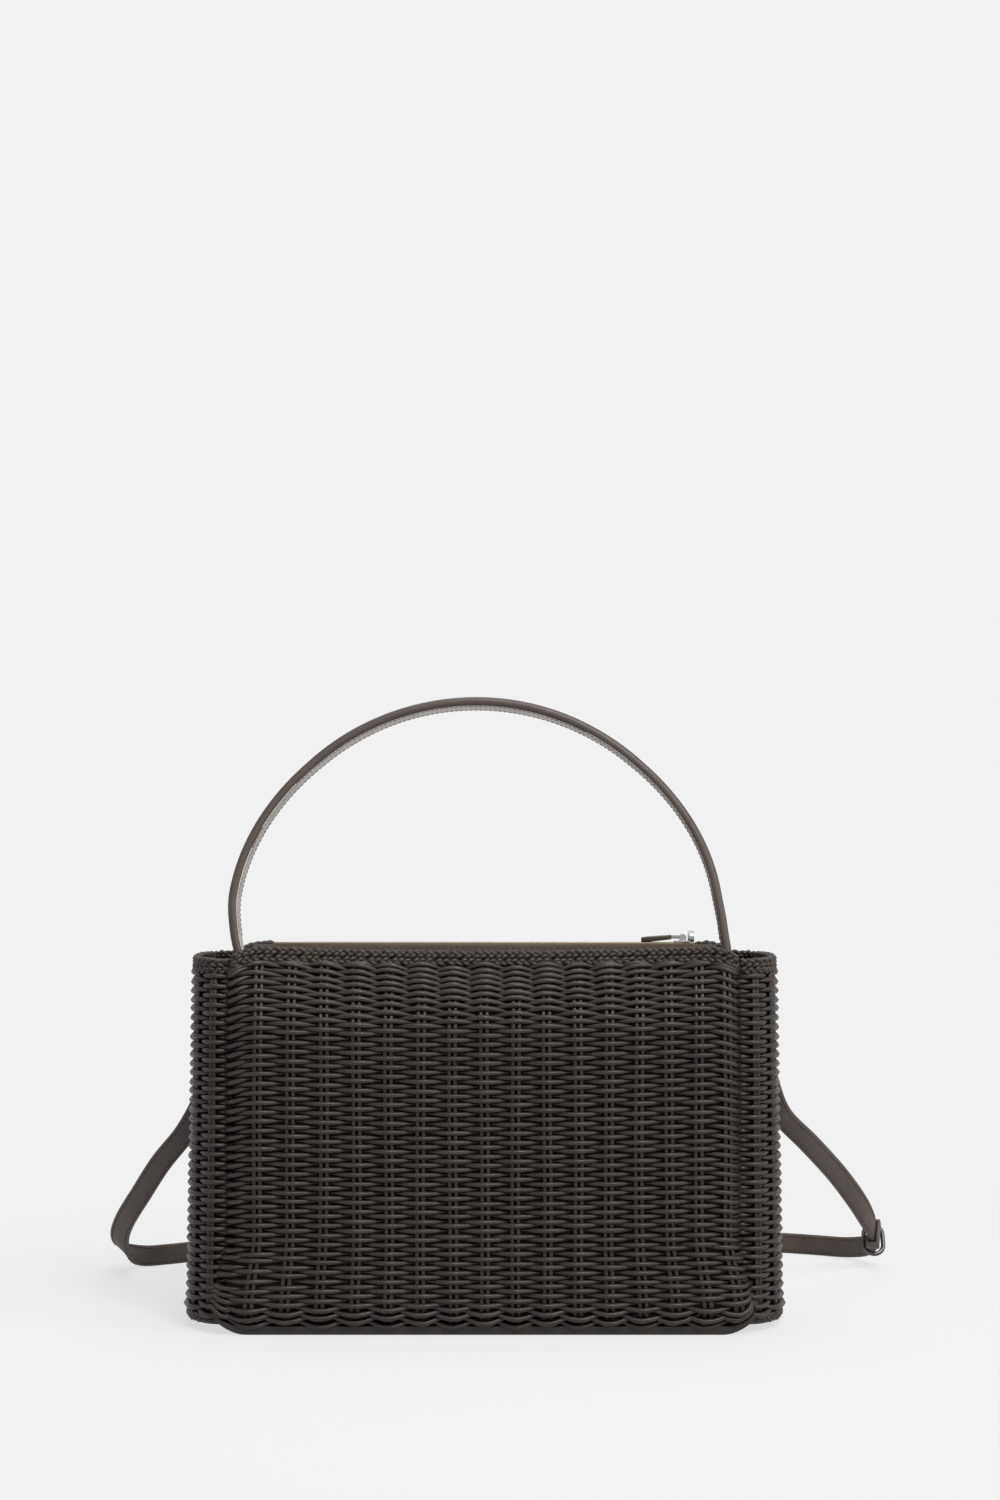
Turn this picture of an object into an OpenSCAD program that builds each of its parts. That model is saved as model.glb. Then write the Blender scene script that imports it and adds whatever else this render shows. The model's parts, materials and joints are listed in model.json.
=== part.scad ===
// Woven leather shoulder bag with a zip top, an arched handle and a flat shoulder strap

/* [Body] */
// Width of the front and back panels between the side seams
body_w = 242; // [210:1:280]
// Depth over the front and back panels
body_d = 96; // [84:1:120]
// Height of the front and back rims
body_h = 185; // [160:1:220]
// Thickness of a woven wall
wall_t = 4.5; // [4:0.1:5.5]
// How far the panels lean in at the corners of the rim
lean_in = 10; // [6:0.5:12]
// How far the panels lean in at the middle of the rim
lean_mid = 29; // [15:0.5:32]
// Height of the leaning top of a panel
lean_h = 39; // [30:1:45]
// How far the foot of a panel turns under
foot_in = 6; // [4:0.5:7]
// Height of the turned foot of a panel
foot_h = 12; // [8:1:16]
// How far the upright edges of a panel turn back at the seams
edge_in = 8; // [5:0.5:9]
// Width of a turned upright edge
edge_w = 16; // [12:1:20]
// Dip of the rims in the middle
rim_sag = 4; // [1:0.5:5]

/* [Weave] */
// Height of one woven row
row_pitch = 2.2; // [2.1:0.1:4]
// Spacing of the upright stakes
stake_pitch = 15.2; // [12:0.1:20]
// Height of the weave's ridges over the middle of the wall's face
weave_relief = 0.9; // [0.4:0.1:1.2]
// Height of the plaited rims
rim_h = 6.4; // [5:0.1:8]
// Length of one crossing of the plait
plait_pitch = 4.6; // [4:0.1:7]
// Sideways swing of the plait
plait_swing = 0.7; // [0.3:0.1:1]

/* [Gussets] */
// Reach of a wing beyond its seam at the top
wing_top = 19.5; // [15:0.5:26]
// Reach of a wing beyond its seam at the foot
wing_foot = 22.5; // [18:0.5:30]
// Height of the wings over their rims
wing_h = 178; // [150:1:205]
// Thickness of the piece that closes the foot of a wing
wing_floor_t = 5; // [4:0.5:8]
// Height of that piece over the ground
wing_floor_z = 3; // [1:0.5:6]

/* [Base] */
// Thickness of the leather base
base_t = 4; // [3:0.5:6]
// Radius of the turned up ends of the base
base_end_r = 10; // [8:0.5:14]

/* [Zip] */
// Depth of the middle of the zip's teeth below the corners of the rims
zip_drop = 4; // [0:0.5:8]
// Length of the plain ends of the zip between the teeth and the bands
zip_end_l = 10.8; // [8:0.1:16]
// Spacing of the teeth
tooth_pitch = 1.8; // [1.6:0.1:3]
// Length of a tooth across the zip
tooth_l = 1.4; // [1:0.1:2]
// Thickness of the teeth
tooth_t = 1.8; // [1.4:0.1:2.4]
// Width of the bead that the teeth sit on
bead_w = 1.4; // [1:0.1:2]
// Gap between the tips of the two rows
tooth_gap = 1.2; // [1:0.1:1.6]
// Thickness of the facings
facing_t = 1; // [0.8:0.1:1.2]
// Length of the slider
slider_l = 9; // [7:0.5:12]
// Width of the slider
slider_w = 8.4; // [7:0.1:10]
// Thickness of the slider's plates
slider_plate_t = 1.2; // [0.8:0.1:1.6]
// Distance of the closed slider from the end of the teeth
slider_in = 5.5; // [5:0.5:16]
// Length of the metal link of the pull
link_l = 11; // [9:0.5:14]
// Length of the leather tab of the pull
pull_l = 11; // [8:0.5:14]
// Width of the leather tab of the pull
pull_w = 6.5; // [5:0.5:8]
// Thickness of the leather tab of the pull
pull_t = 3.2; // [2.6:0.1:3.6]

/* [Handle] */
// Distance of the handle's legs from the side seams, at the middle of their thickness
handle_in = 3.5; // [3:0.1:8]
// Straight height of the handle's legs over the rivets
handle_leg_h = 13.25; // [10:0.25:30]
// Width of the handle
handle_w = 13; // [10:0.5:16]
// Thickness of the handle
handle_t = 4.5; // [3.5:0.1:5.5]
// Rounding of the handle's edges
handle_edge_r = 1.4; // [0.8:0.1:1.7]
// Depth of the rivets below the corners of the rims
rivet_drop = 14; // [12:0.5:25]
// Radius of the rivets
rivet_r = 2; // [1.5:0.1:2.5]
// Backward lean of the handle at rest, in degrees
handle_lean = 12; // [0:1:20]
// Thickness of the leather bands across the mouth
band_t = 2.5; // [2:0.1:3.5]
// Height of the bands below the rivets
band_drop = 14; // [10:1:20]

/* [Shoulder strap] */
// Width of the strap
strap_w = 11; // [8:0.5:12]
// Thickness of the strap
strap_t = 2.4; // [2:0.1:3]
// Width of the tabs that hold the strap
tab_w = 14; // [12:0.5:18]
// Height of the tabs that hold the strap
tab_h = 24; // [18:1:30]
// Thickness of the tabs that hold the strap
tab_t = 3; // [2.4:0.1:4]
// Height of the foot of the tabs over the ground
tab_z = 145; // [140:1:150]
// Thickness of the ring's wire
ring_wire = 2.4; // [2:0.1:3]
// Width of the ring
ring_w = 12.5; // [11:0.5:16]
// Height of the ring
ring_h = 18; // [17:0.5:28]
// Length of the keeper along the strap
keeper_l = 6; // [4:0.5:8]
// Thickness of the keeper's leather
keeper_t = 1.6; // [1.2:0.1:2]

/* [Hidden] */

// Overrun of cuts and the clearances between pieces
overrun = 1;
seat_gap = 0.3;
running_gap = 0.05;
slide_gap = 0.3;

// Shares of a turned edge at which the weave has extra uprights
edge_shares = [0.4];
// Heights on a wall, as shares, at which its inner face has a bend
inner_shares = [0, 0.04, 0.8, 0.86, 0.9, 0.94, 0.97, 1];
// Squareness of the wings in plan
wing_power_share = 0.83;
// Bend of the leaning top
lean_power_share = 1.4;
// Stakes of a wing, as a share of those along its straight sides
wing_stake_share = 0.85;
// Step along a wing's plan that gives its direction
wing_step_share = 0.02;

half_w = body_w / 2;
half_d = body_d / 2;
handle_r = half_w - handle_in;
zip_z = body_h - zip_drop;
rivet_z = body_h - rivet_drop;
panel_foot = base_t + seat_gap;
panel_top = body_h - rim_h - 2 * plait_swing - seat_gap;
wing_foot_z = wing_floor_z + wing_floor_t + seat_gap;
wing_top_z = wing_h - rim_h - 2 * plait_swing - seat_gap;
stakes = round(body_w / stake_pitch);
stake_step = body_w / stakes;

// Sections that several pieces share
function rounded(w, t, r, n) = [for (c = [0:3]) for (k = [0:n])
  let (a = 90 * (c + k / n), sx = (c == 0 || c == 3) ? 1 : -1, sy = c < 2 ? 1 : -1)
  [sx * (w / 2 - r) + r * cos(a), sy * (t / 2 - r) + r * sin(a)]];

// Shape of the walls
function over(x) = max(0, abs(x) - (half_w - base_end_r));
function end_lift(x) = base_end_r - sqrt(max(0, base_end_r * base_end_r - over(x) * over(x)));
function edge_turn(x) = let (e = min(1, max(0, abs(x) - (half_w - edge_w)) / edge_w))
  edge_in * (1 - sqrt(1 - e * e));
function lean(z) = lean_in * pow(max(0, z - (body_h - lean_h)) / lean_h, lean_power_share);
function tuck(z) = foot_in * pow(max(0, foot_h + panel_foot - z) / foot_h, 2);
function sag(x) = rim_sag * (1 - pow(x / half_w, 2));
function mid_lean(x) = 1 + (lean_mid / lean_in - 1) * (1 - pow(x / half_w, 4));
function wall_y(x, z) = -half_d + edge_turn(x) + lean(z) * mid_lean(x) + min(foot_in, tuck(z));
function panel_z(x, v) = let (low = panel_foot + end_lift(x)) low + v * (panel_top - sag(x) - low);

// A woven sheet from a grid of outer points and a coarser grid of inner points
function sheet_faces(nu, nv, mv) = let (n0 = nu * nv) concat(
  [for (i = [0:nu - 2]) for (j = [0:nv - 2]) let (a = i * nv + j, b = a + nv)
    each (i + j) % 2 == 0 ? [[a, a + 1, b + 1], [a, b + 1, b]] : [[a, a + 1, b], [a + 1, b + 1, b]]],
  [for (i = [0:nu - 2]) for (k = [0:mv - 2]) let (a = n0 + i * mv + k, b = a + mv)
    each [[a, b, b + 1], [a, b + 1, a + 1]]],
  [for (i = [0:nu - 2]) let (a = i * nv, b = a + nv, c = n0 + i * mv, d = c + mv)
    each [[a, b, d], [a, d, c]]],
  [for (i = [0:nu - 2]) let (a = i * nv + nv - 1, b = a + nv, c = n0 + i * mv + mv - 1, d = c + mv)
    each [[a, c, d], [a, d, b]]],
  [concat([for (k = [0:mv - 1]) n0 + k], [for (j = [nv - 1:-1:0]) j])],
  [concat([for (j = [0:nv - 1]) (nu - 1) * nv + j], [for (k = [mv - 1:-1:0]) n0 + (nu - 1) * mv + k])]);

// Uprights of the big panels, with extra ones where the edges turn
columns = concat([-half_w], [for (s = edge_shares) -half_w + s * stake_step],
  [for (k = [1:stakes - 1]) -half_w + k * stake_step],
  [for (k = [len(edge_shares) - 1:-1:0]) half_w - edge_shares[k] * stake_step], [half_w]);
panel_rows = floor((panel_top - panel_foot) / row_pitch);

module panel() {
  outer = [for (x = columns) for (j = [0:panel_rows])
    let (z = panel_z(x, j / panel_rows))
    [x, wall_y(x, z) - weave_relief * cos(180 * ((x + half_w) / stake_step + j)), z]];
  inner = [for (x = columns) for (s = inner_shares)
    let (z = panel_z(x, s)) [x, wall_y(x, z) + wall_t, z]];
  polyhedron(concat(outer, inner), sheet_faces(len(columns), panel_rows + 1, len(inner_shares)));
}

// Plan of a wing: t runs from -1 at the front seam to 1 at the back seam
function signed_pow(v, p) = sign(v) * pow(abs(v), p);
function wing_reach(z) = wing_foot + (wing_top - wing_foot) * z / wing_h;
function seam_y(z) = half_d - edge_in - lean(z) - min(foot_in, tuck(z));
function wing_pt(t, z, inset) = [half_w + 2 * seat_gap
    + max(0, wing_reach(z) - inset) * signed_pow(max(0, cos(90 * t)), wing_power_share),
  (seam_y(z) - inset) * signed_pow(sin(90 * t), wing_power_share)];
function wing_normal(t, z) = let (e = wing_step_share,
  a = wing_pt(max(-1, t - e), z, 0), b = wing_pt(min(1, t + e), z, 0), d = b - a)
  abs(t) == 1 ? [0, t] : [d[1], -d[0]] / norm(d);
wing_columns = 2 * round((wing_foot + half_d) * wing_stake_share / stake_pitch);
wing_rows = floor((wing_top_z - wing_foot_z) / row_pitch);

module gusset() {
  outer = [for (i = [0:wing_columns]) for (j = [0:wing_rows])
    let (t = 2 * i / wing_columns - 1, z = wing_foot_z + (wing_top_z - wing_foot_z) * j / wing_rows,
      p = wing_pt(t, z, 0) + wing_normal(t, z) * weave_relief * cos(180 * (i + j)))
    [p[0], p[1], z]];
  inner = [for (i = [0:wing_columns]) for (s = inner_shares)
    let (t = 2 * i / wing_columns - 1, z = wing_foot_z + (wing_top_z - wing_foot_z) * s,
      p = wing_pt(t, z, wall_t))
    [p[0], p[1], z]];
  polyhedron(concat(outer, inner), sheet_faces(wing_columns + 1, wing_rows + 1, len(inner_shares)));
}

module wing_floor() {
  steps = 24;
  z = wing_floor_z + wing_floor_t;
  translate([0, 0, wing_floor_z])
    linear_extrude(height = wing_floor_t)
      polygon([for (i = [0:steps]) wing_pt(2 * i / steps - 1, z, 0)]);
}

// A plaited border along a line of points, six sided, with its crossings swinging to and fro
function plait_ring(c, side, swing) = [for (k = [0:5]) let (a = 60 * k + 30, r = rim_h / 2)
  [c[0] + side[0] * (r * cos(a) + swing), c[1] + side[1] * (r * cos(a) + swing),
   c[2] + r * sin(a) + abs(swing)]];
function tube_faces(n, m) = concat(
  [[for (k = [0:m - 1]) k]],
  [for (i = [0:n - 2]) for (k = [0:m - 1]) let (a = i * m + k, b = i * m + (k + 1) % m)
    each [[a, a + m, b], [b, a + m, b + m]]],
  [[for (k = [m - 1:-1:0]) (n - 1) * m + k]]);

rim_stations = 2 * round(body_w / plait_pitch / 2);
module long_rim() {
  rings = [for (i = [0:rim_stations])
    let (x = body_w * (i / rim_stations - 0.5), z = panel_top - sag(x), s = i % 2 == 0 ? 1 : -1)
    each plait_ring([x, wall_y(x, z) + wall_t / 2, z + seat_gap + rim_h / 2], [0, 1], s * plait_swing)];
  polyhedron(rings, tube_faces(rim_stations + 1, 6));
}

wing_rim_stations = 24;
module wing_rim() {
  rings = [for (i = [0:wing_rim_stations])
    let (t = 2 * i / wing_rim_stations - 1, p = wing_pt(t, wing_top_z, wall_t / 2),
      d = wing_normal(t, wing_top_z), s = i % 2 == 0 ? 1 : -1)
    each plait_ring([p[0], p[1], wing_top_z + seat_gap + rim_h / 2], -d, s * plait_swing)];
  polyhedron(rings, tube_faces(wing_rim_stations + 1, 6));
}

module base_panel() {
  steps = 8;
  ends = [for (k = [0:steps]) let (a = 90 * k / steps)
    [half_w - base_end_r + base_end_r * sin(a), base_end_r * (1 - cos(a))]];
  low = concat([for (k = [steps:-1:0]) [-ends[k][0], ends[k][1]]], ends);
  color("#231d1a")
    rotate([90, 0, 0])
      linear_extrude(height = 2 * (half_d - foot_in), center = true)
        polygon(concat(low, [for (k = [len(low) - 1:-1:0]) low[k] + [0, base_t]]));
}
module front_panel() { color("#2f2925") panel(); }
module back_panel() { color("#2f2925") mirror([0, 1, 0]) panel(); }
module right_gusset() { color("#37302b") gusset(); }
module left_gusset() { color("#37302b") mirror([1, 0, 0]) gusset(); }
module right_wing_floor() { color("#2b2521") wing_floor(); }
module left_wing_floor() { color("#2b2521") mirror([1, 0, 0]) wing_floor(); }
module front_rim() { color("#3b332e") long_rim(); }
module back_rim() { color("#3b332e") mirror([0, 1, 0]) long_rim(); }
module right_rim() { color("#3b332e") wing_rim(); }
module left_rim() { color("#3b332e") mirror([1, 0, 0]) wing_rim(); }

// The zip: facings sewn inside the panels, toothed rows, end patches, slider and pull
band_x = handle_r - handle_t / 2 - seat_gap / 2 - band_t / 2;
tape_in = tooth_gap / 2 + tooth_l + bead_w;
tape_flat = slider_w / 2 + 2 * facing_t;
zip_len = 2 * (band_x - band_t / 2 - seat_gap - zip_end_l);
slider_x = zip_len / 2 - slider_in;
facing_low = panel_top - rim_sag - 3 * rim_h / 2;
facing_bend = panel_top - rim_sag - 2 * seat_gap;
module facing() {
  x0 = band_x - band_t / 2 - seat_gap;
  g = 2 * seat_gap;
  y_low = wall_y(0, facing_low) + wall_t + g;
  y_bend = wall_y(0, facing_bend) + wall_t + g;
  rotate([90, 0, 90])
    linear_extrude(height = 2 * x0, center = true)
      polygon([[y_low, facing_low], [y_low + facing_t, facing_low],
        [y_bend + facing_t, facing_bend - facing_t], [-tape_flat, zip_z - facing_t / 2],
        [-tape_in, zip_z - facing_t / 2], [-tape_in, zip_z + facing_t / 2],
        [-tape_flat, zip_z + facing_t / 2], [y_bend, facing_bend]]);
}
module front_facing() { color("#5a4632") facing(); }
module back_facing() { color("#5a4632") mirror([0, 1, 0]) facing(); }

teeth = floor(zip_len / tooth_pitch);
tooth_start_shares = [0.4, 0.9];
module tooth_row(shift) {
  y0 = tooth_gap / 2;
  y1 = y0 + tooth_l;
  root = zip_len / 2;
  crowns = [for (k = [0:teeth - 2]) let (x = -root + (k + shift) * tooth_pitch, w = tooth_pitch / 2)
    each [[x, y1], [x, y0], [x + w, y0], [x + w, y1]]];
  translate([0, 0, zip_z - tooth_t / 2])
    linear_extrude(height = tooth_t)
      polygon(concat([[-root, y1 + bead_w], [-root, y1]], crowns, [[root, y1], [root, y1 + bead_w]]));
}
module back_teeth() { color("#b08d57") tooth_row(tooth_start_shares[0]); }
module front_teeth() { color("#b08d57") mirror([0, 1, 0]) tooth_row(tooth_start_shares[1]); }

module zip_end() {
  x0 = zip_len / 2 + seat_gap;
  x1 = band_x - band_t / 2 - seat_gap;
  y = tape_in - seat_gap;
  translate([x0, -y, zip_z - facing_t / 2])
    cube([x1 - x0, 2 * y, facing_t]);
}
module right_zip_end() { color("#4a3a2b") zip_end(); }
module left_zip_end() { color("#4a3a2b") mirror([1, 0, 0]) zip_end(); }

slot_half = tooth_t / 2 + slide_gap;
plate_top = zip_z + slot_half + slider_plate_t;
pin_r = 0.7;
ear_t = 0.9;
ear_gap = 2.2;
neck_share = 0.66;
neck_w = tooth_gap * neck_share;
eye_r = pin_r + running_gap;
eye_wall = 0.8;
pivot_z = plate_top + eye_r + eye_wall + slide_gap;

// Plan of the slider's plates: narrow at the tail, wide at the rounded shoulders
tail_share = 0.8;
module slider_plate() {
  tail_w = slider_w * tail_share;
  linear_extrude(height = slider_plate_t) {
    polygon(rounded(slider_l, tail_w, tail_w / 3, 6));
    translate([slider_l / 6, 0]) polygon(rounded(2 * slider_l / 3, slider_w, slider_w / 3, 6));
  }
}
module slider_ear() {
  r = pin_r + ear_t;
  h = pivot_z - plate_top + slider_plate_t / 2;
  rotate([90, 0, 0]) linear_extrude(height = ear_t, center = true) {
    circle(r = r, $fn = 32);
    translate([-r, -h]) square([2 * r, h]);
  }
}
module zip_slider() {
  color("#c9c9cc") translate([slider_x, 0, 0]) {
    translate([0, 0, plate_top - slider_plate_t]) slider_plate();
    translate([0, 0, zip_z - slot_half - slider_plate_t]) slider_plate();
    translate([slider_l / 4, -neck_w / 2, zip_z - slot_half - slider_plate_t / 2])
      cube([slider_l / 6, neck_w, 2 * slot_half + slider_plate_t]);
    for (s = [-1, 1]) translate([0, s * (ear_gap + ear_t) / 2, pivot_z]) slider_ear();
    translate([0, 0, pivot_z]) rotate([90, 0, 0])
      cylinder(r = pin_r, h = ear_gap + ear_t, center = true, $fn = 32);
  }
}

// The pull lies to the left of the slider, on an eye between the ears
link_t = 1.6;
link_w = ear_gap - 2 * slide_gap;
module pull_link() {
  color("#c9c9cc") translate([slider_x, 0, pivot_z]) rotate([90, 0, 0]) difference() {
    union() {
      cylinder(r = eye_r + eye_wall, h = link_w, center = true, $fn = 32);
      translate([-link_l, -eye_r, -link_w / 2]) cube([link_l, link_t, link_w]);
    }
    cylinder(r = eye_r, h = link_w + 2 * overrun, center = true, $fn = 32);
  }
}
module pull_tab() {
  bite = link_l / 3;
  color("#3a3222") translate([slider_x - link_l + bite, 0, pivot_z - eye_r + link_t / 2]) difference() {
    translate([-pull_l / 2, 0, -pull_t / 2]) linear_extrude(height = pull_t)
      polygon(rounded(pull_l, pull_w, pull_w / 3, 6));
    translate([-bite, -link_w / 2, -link_t / 2]) cube([bite + overrun, link_w, link_t]);
  }
}

// The handle swings on two rivets that the bands across the mouth carry
module handle_leg() {
  translate([handle_r, 0, 0]) {
    linear_extrude(height = handle_leg_h) polygon(rounded(handle_t, handle_w, handle_edge_r, 4));
    rotate([0, 90, 0]) cylinder(r = handle_w / 2, h = handle_t, center = true, $fn = 64);
  }
}
module handle() {
  bore = rivet_r + running_gap;
  color("#675d5a") translate([0, 0, rivet_z]) rotate([-handle_lean, 0, 0]) difference() {
    union() {
      translate([0, 0, handle_leg_h]) rotate([90, 0, 0])
        rotate_extrude(angle = 180, $fn = 128)
          translate([handle_r, 0]) polygon(rounded(handle_t, handle_w, handle_edge_r, 4));
      handle_leg();
      mirror([1, 0, 0]) handle_leg();
    }
    for (s = [-1, 1])
      translate([s * handle_r, 0, 0]) rotate([0, 90, 0])
        cylinder(r = bore, h = handle_t + 2 * overrun, center = true, $fn = 48);
  }
}

band_shares = [0, 0.4, 0.7, 0.9];
module band() {
  low = rivet_z - band_drop;
  high = facing_bend - facing_t;
  zs = [for (s = band_shares) low + s * (high - low)];
  function edge(z) = wall_y(band_x + band_t, z) + wall_t + seat_gap;
  translate([band_x, 0, 0]) difference() {
    rotate([90, 0, 90]) linear_extrude(height = band_t, center = true)
      polygon(concat([for (z = zs) [edge(z), z]],
        [for (k = [len(zs) - 1:-1:0]) [-edge(zs[k]), zs[k]]]));
    translate([0, 0, rivet_z]) rotate([0, 90, 0])
      cylinder(r = rivet_r, h = band_t + 2 * overrun, center = true, $fn = 48);
  }
}
module right_band() { color("#2b2521") band(); }
module left_band() { color("#2b2521") mirror([1, 0, 0]) band(); }

rivet_head_r_share = 1.8;
rivet_head_t_share = 0.6;
rivet_head_r = rivet_r * rivet_head_r_share;
rivet_head_t = rivet_r * rivet_head_t_share;
module rivet() {
  x0 = band_x - band_t / 2;
  x1 = handle_r + handle_t / 2 + seat_gap / 2;
  translate([0, 0, rivet_z]) rotate([0, 90, 0]) {
    translate([0, 0, x0]) cylinder(r = rivet_r, h = x1 - x0, $fn = 48);
    translate([0, 0, x0 - rivet_head_t]) cylinder(r = rivet_head_r, h = rivet_head_t, $fn = 48);
    translate([0, 0, x1]) cylinder(r = rivet_head_r, h = rivet_head_t, $fn = 48);
  }
}
module right_rivet() { color("#8a8680") rivet(); }
module left_rivet() { color("#8a8680") mirror([1, 0, 0]) rivet(); }

// The shoulder strap: its route, from the left tab round the back to the right tab
route = [[-138, 33, 145], [-139.5, 36, 128], [-142, 42, 107], [-152, 51, 86], [-167, 68, 67],
  [-179, 88, 49], [-190, 110, 32], [-195, 128, 20], [-194, 143, 11], [-186, 155, 6.2], [-173, 164, 5.6],
  [-158, 175, 5.6], [-138, 186, 5.6], [-110, 196, 5.6], [-76, 204, 5.6], [-38, 209, 5.6], [0, 211, 5.6],
  [38, 212, 5.6], [76, 212, 5.6], [110, 211, 5.6], [138, 208, 5.6], [160, 203, 5.6], [178, 195, 5.6],
  [192, 184, 6.2], [201, 170, 9], [204, 155, 14], [203, 147, 19], [200, 138, 26], [191.5, 120, 40],
  [178, 96, 58], [162, 72, 76], [146, 54, 93], [138.5, 41, 111], [138.5, 36, 129], [138, 33, 145]];
last = len(route) - 1;
twist_points = 4;
lying_from = 5;
lying_points = 3;
slope_tilt = 34;
function unit(v) = v / norm(v);
function heading(i) = i == 0 ? [0, 0, -1] : i == last ? [0, 0, 1] : unit(route[i + 1] - route[i - 1]);
function side_ref(i) = let (k = min(i, last - i), s = i < last / 2 ? 1 : -1,
    n = wing_normal(tab_t_share, tab_z), hung = min(1, k / twist_points),
    laid = min(1, max(0, k - lying_from) / lying_points))
  (1 - laid) * ((1 - hung) * [-s * n[1], -n[0], 0] + hung * [-s * cos(slope_tilt), 0, sin(slope_tilt)])
    + laid * [0, 0, 1];
function across(i) = let (h = heading(i), r = side_ref(i)) unit(r - (r * h) * h);
tab_t_share = 0.55;
strap_edge_share = 0.5;
strap_section = let (w = strap_w / 2, t = strap_t / 2, c = t * strap_edge_share)
  [[w, c], [w - c, t], [c - w, t], [-w, c], [-w, -c], [c - w, -t], [w - c, -t], [w, -c]];

module shoulder_strap() {
  rings = [for (i = [0:last]) let (a = across(i), n = cross(heading(i), a))
    for (p = strap_section) route[i] + a * p[0] + n * p[1]];
  color("#433a34") polyhedron(rings, tube_faces(last + 1, len(strap_section)));
}

module strap_tab() {
  n = wing_normal(tab_t_share, tab_z + tab_h);
  p = wing_pt(tab_t_share, tab_z, 0) + n * (weave_relief + seat_gap + tab_t / 2);
  translate([p[0], p[1], tab_z]) rotate([0, 0, atan2(n[1], n[0])])
    linear_extrude(height = tab_h) polygon(rounded(tab_t, tab_w, tab_t / 3, 4));
}
module right_strap_tab() { color("#3d342e") strap_tab(); }
module left_strap_tab() { color("#3d342e") mirror([1, 0, 0]) strap_tab(); }

// The ring and the keeper sit on the strap at two of its route points
ring_at = 25;
keeper_at = 26;
module on_strap(i) {
  h = heading(i);
  a = across(i);
  n = cross(a, h);
  multmatrix([[n[0], h[0], a[0], route[i][0]], [n[1], h[1], a[1], route[i][1]],
    [n[2], h[2], a[2], route[i][2]], [0, 0, 0, 1]]) children();
}
module strap_ring() {
  r = (ring_w - ring_wire) / 2;
  straight = ring_h - ring_w;
  seat = ring_h / 2 - ring_wire - strap_w / 2 - seat_gap;
  color("#8f8f92") on_strap(ring_at) translate([0, 0, seat]) rotate([90, 0, 0]) {
    for (s = [0, 1]) mirror([0, s, 0]) translate([0, straight / 2, 0])
      rotate_extrude(angle = 180, $fn = 64) translate([r, 0]) circle(d = ring_wire, $fn = 32);
    for (s = [-1, 1]) translate([s * r, 0, 0]) rotate([90, 0, 0])
      cylinder(d = ring_wire, h = straight, center = true, $fn = 32);
  }
}
module strap_keeper() {
  gap = strap_t / 2 + 2 * seat_gap;
  color("#3d342e") on_strap(keeper_at) rotate([90, 0, 0]) linear_extrude(height = keeper_l, center = true)
    difference() {
      square([2 * (gap + keeper_t), strap_w + 2 * (seat_gap + keeper_t)], center = true);
      square([2 * gap, strap_w + 2 * seat_gap], center = true);
    }
}

base_panel();
front_panel();
back_panel();
left_gusset();
right_gusset();
left_wing_floor();
right_wing_floor();
front_rim();
back_rim();
left_rim();
right_rim();
front_facing();
back_facing();
front_teeth();
back_teeth();
left_zip_end();
right_zip_end();
zip_slider();
pull_link();
pull_tab();
handle();
left_band();
right_band();
left_rivet();
right_rivet();
shoulder_strap();
left_strap_tab();
right_strap_tab();
strap_ring();
strap_keeper();
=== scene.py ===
import json
import math

import bmesh
import bpy
import numpy as np
from mathutils import Matrix, Vector


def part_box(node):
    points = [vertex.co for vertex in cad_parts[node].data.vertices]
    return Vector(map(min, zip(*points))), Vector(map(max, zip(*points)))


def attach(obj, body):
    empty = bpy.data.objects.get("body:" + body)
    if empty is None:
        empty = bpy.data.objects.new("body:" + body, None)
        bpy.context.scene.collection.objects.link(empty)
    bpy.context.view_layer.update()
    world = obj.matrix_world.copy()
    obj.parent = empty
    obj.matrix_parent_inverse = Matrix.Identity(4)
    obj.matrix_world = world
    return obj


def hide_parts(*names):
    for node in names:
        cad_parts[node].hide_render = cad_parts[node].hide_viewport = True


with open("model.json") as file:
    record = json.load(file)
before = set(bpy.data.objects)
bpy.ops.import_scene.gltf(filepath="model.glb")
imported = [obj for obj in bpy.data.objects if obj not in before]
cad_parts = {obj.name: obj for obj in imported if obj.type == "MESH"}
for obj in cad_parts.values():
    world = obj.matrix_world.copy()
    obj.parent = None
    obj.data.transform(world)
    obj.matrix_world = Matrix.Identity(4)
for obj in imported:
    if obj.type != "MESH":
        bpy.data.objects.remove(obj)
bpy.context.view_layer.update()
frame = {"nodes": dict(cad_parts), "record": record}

bl_info = {
    "name": "Woven leather shoulder bag",
    "version": (1, 0, 0),
    "blender": (4, 5, 0),
    "location": "View3D > Sidebar > Bag",
    "description": "Dresses the woven leather shoulder bag around its solid parts",
    "category": "Object",
}

MM = 0.001
SEED = 11

# Walls of the bag, from the boxes of its solids
FRONT_LOW, FRONT_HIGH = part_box("front_panel")
WING_LOW, WING_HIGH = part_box("right_gusset")
FLOOR_LOW, FLOOR_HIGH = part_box("right_wing_floor")
RIDGE = 0.9 * MM
HALF_W = FRONT_HIGH.x
HALF_D = -FRONT_LOW.y - RIDGE
PANEL_FOOT = FRONT_LOW.z
PANEL_TOP = FRONT_HIGH.z
BODY_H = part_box("front_rim")[1].z
LEAN_IN, LEAN_MID, LEAN_H, LEAN_POWER = 10 * MM, 29 * MM, 39 * MM, 1.4
FOOT_IN, FOOT_H = 6 * MM, 12 * MM
EDGE_IN, EDGE_W = 8 * MM, 16 * MM
RIM_SAG, BACK_SAG = 3 * MM, 3 * MM
CORNER_W, CORNER_DROP = 16 * MM, 5 * MM
BULGE, BULGE_RISE, BULGE_FALL = 7 * MM, (-6 * MM, 9 * MM), (10 * MM, 50 * MM)
WALL_T = 4.5 * MM
BASE_END_R, END_LIFT_H, END_LIFT_POWER = 10 * MM, 26 * MM, 1.5
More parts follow.
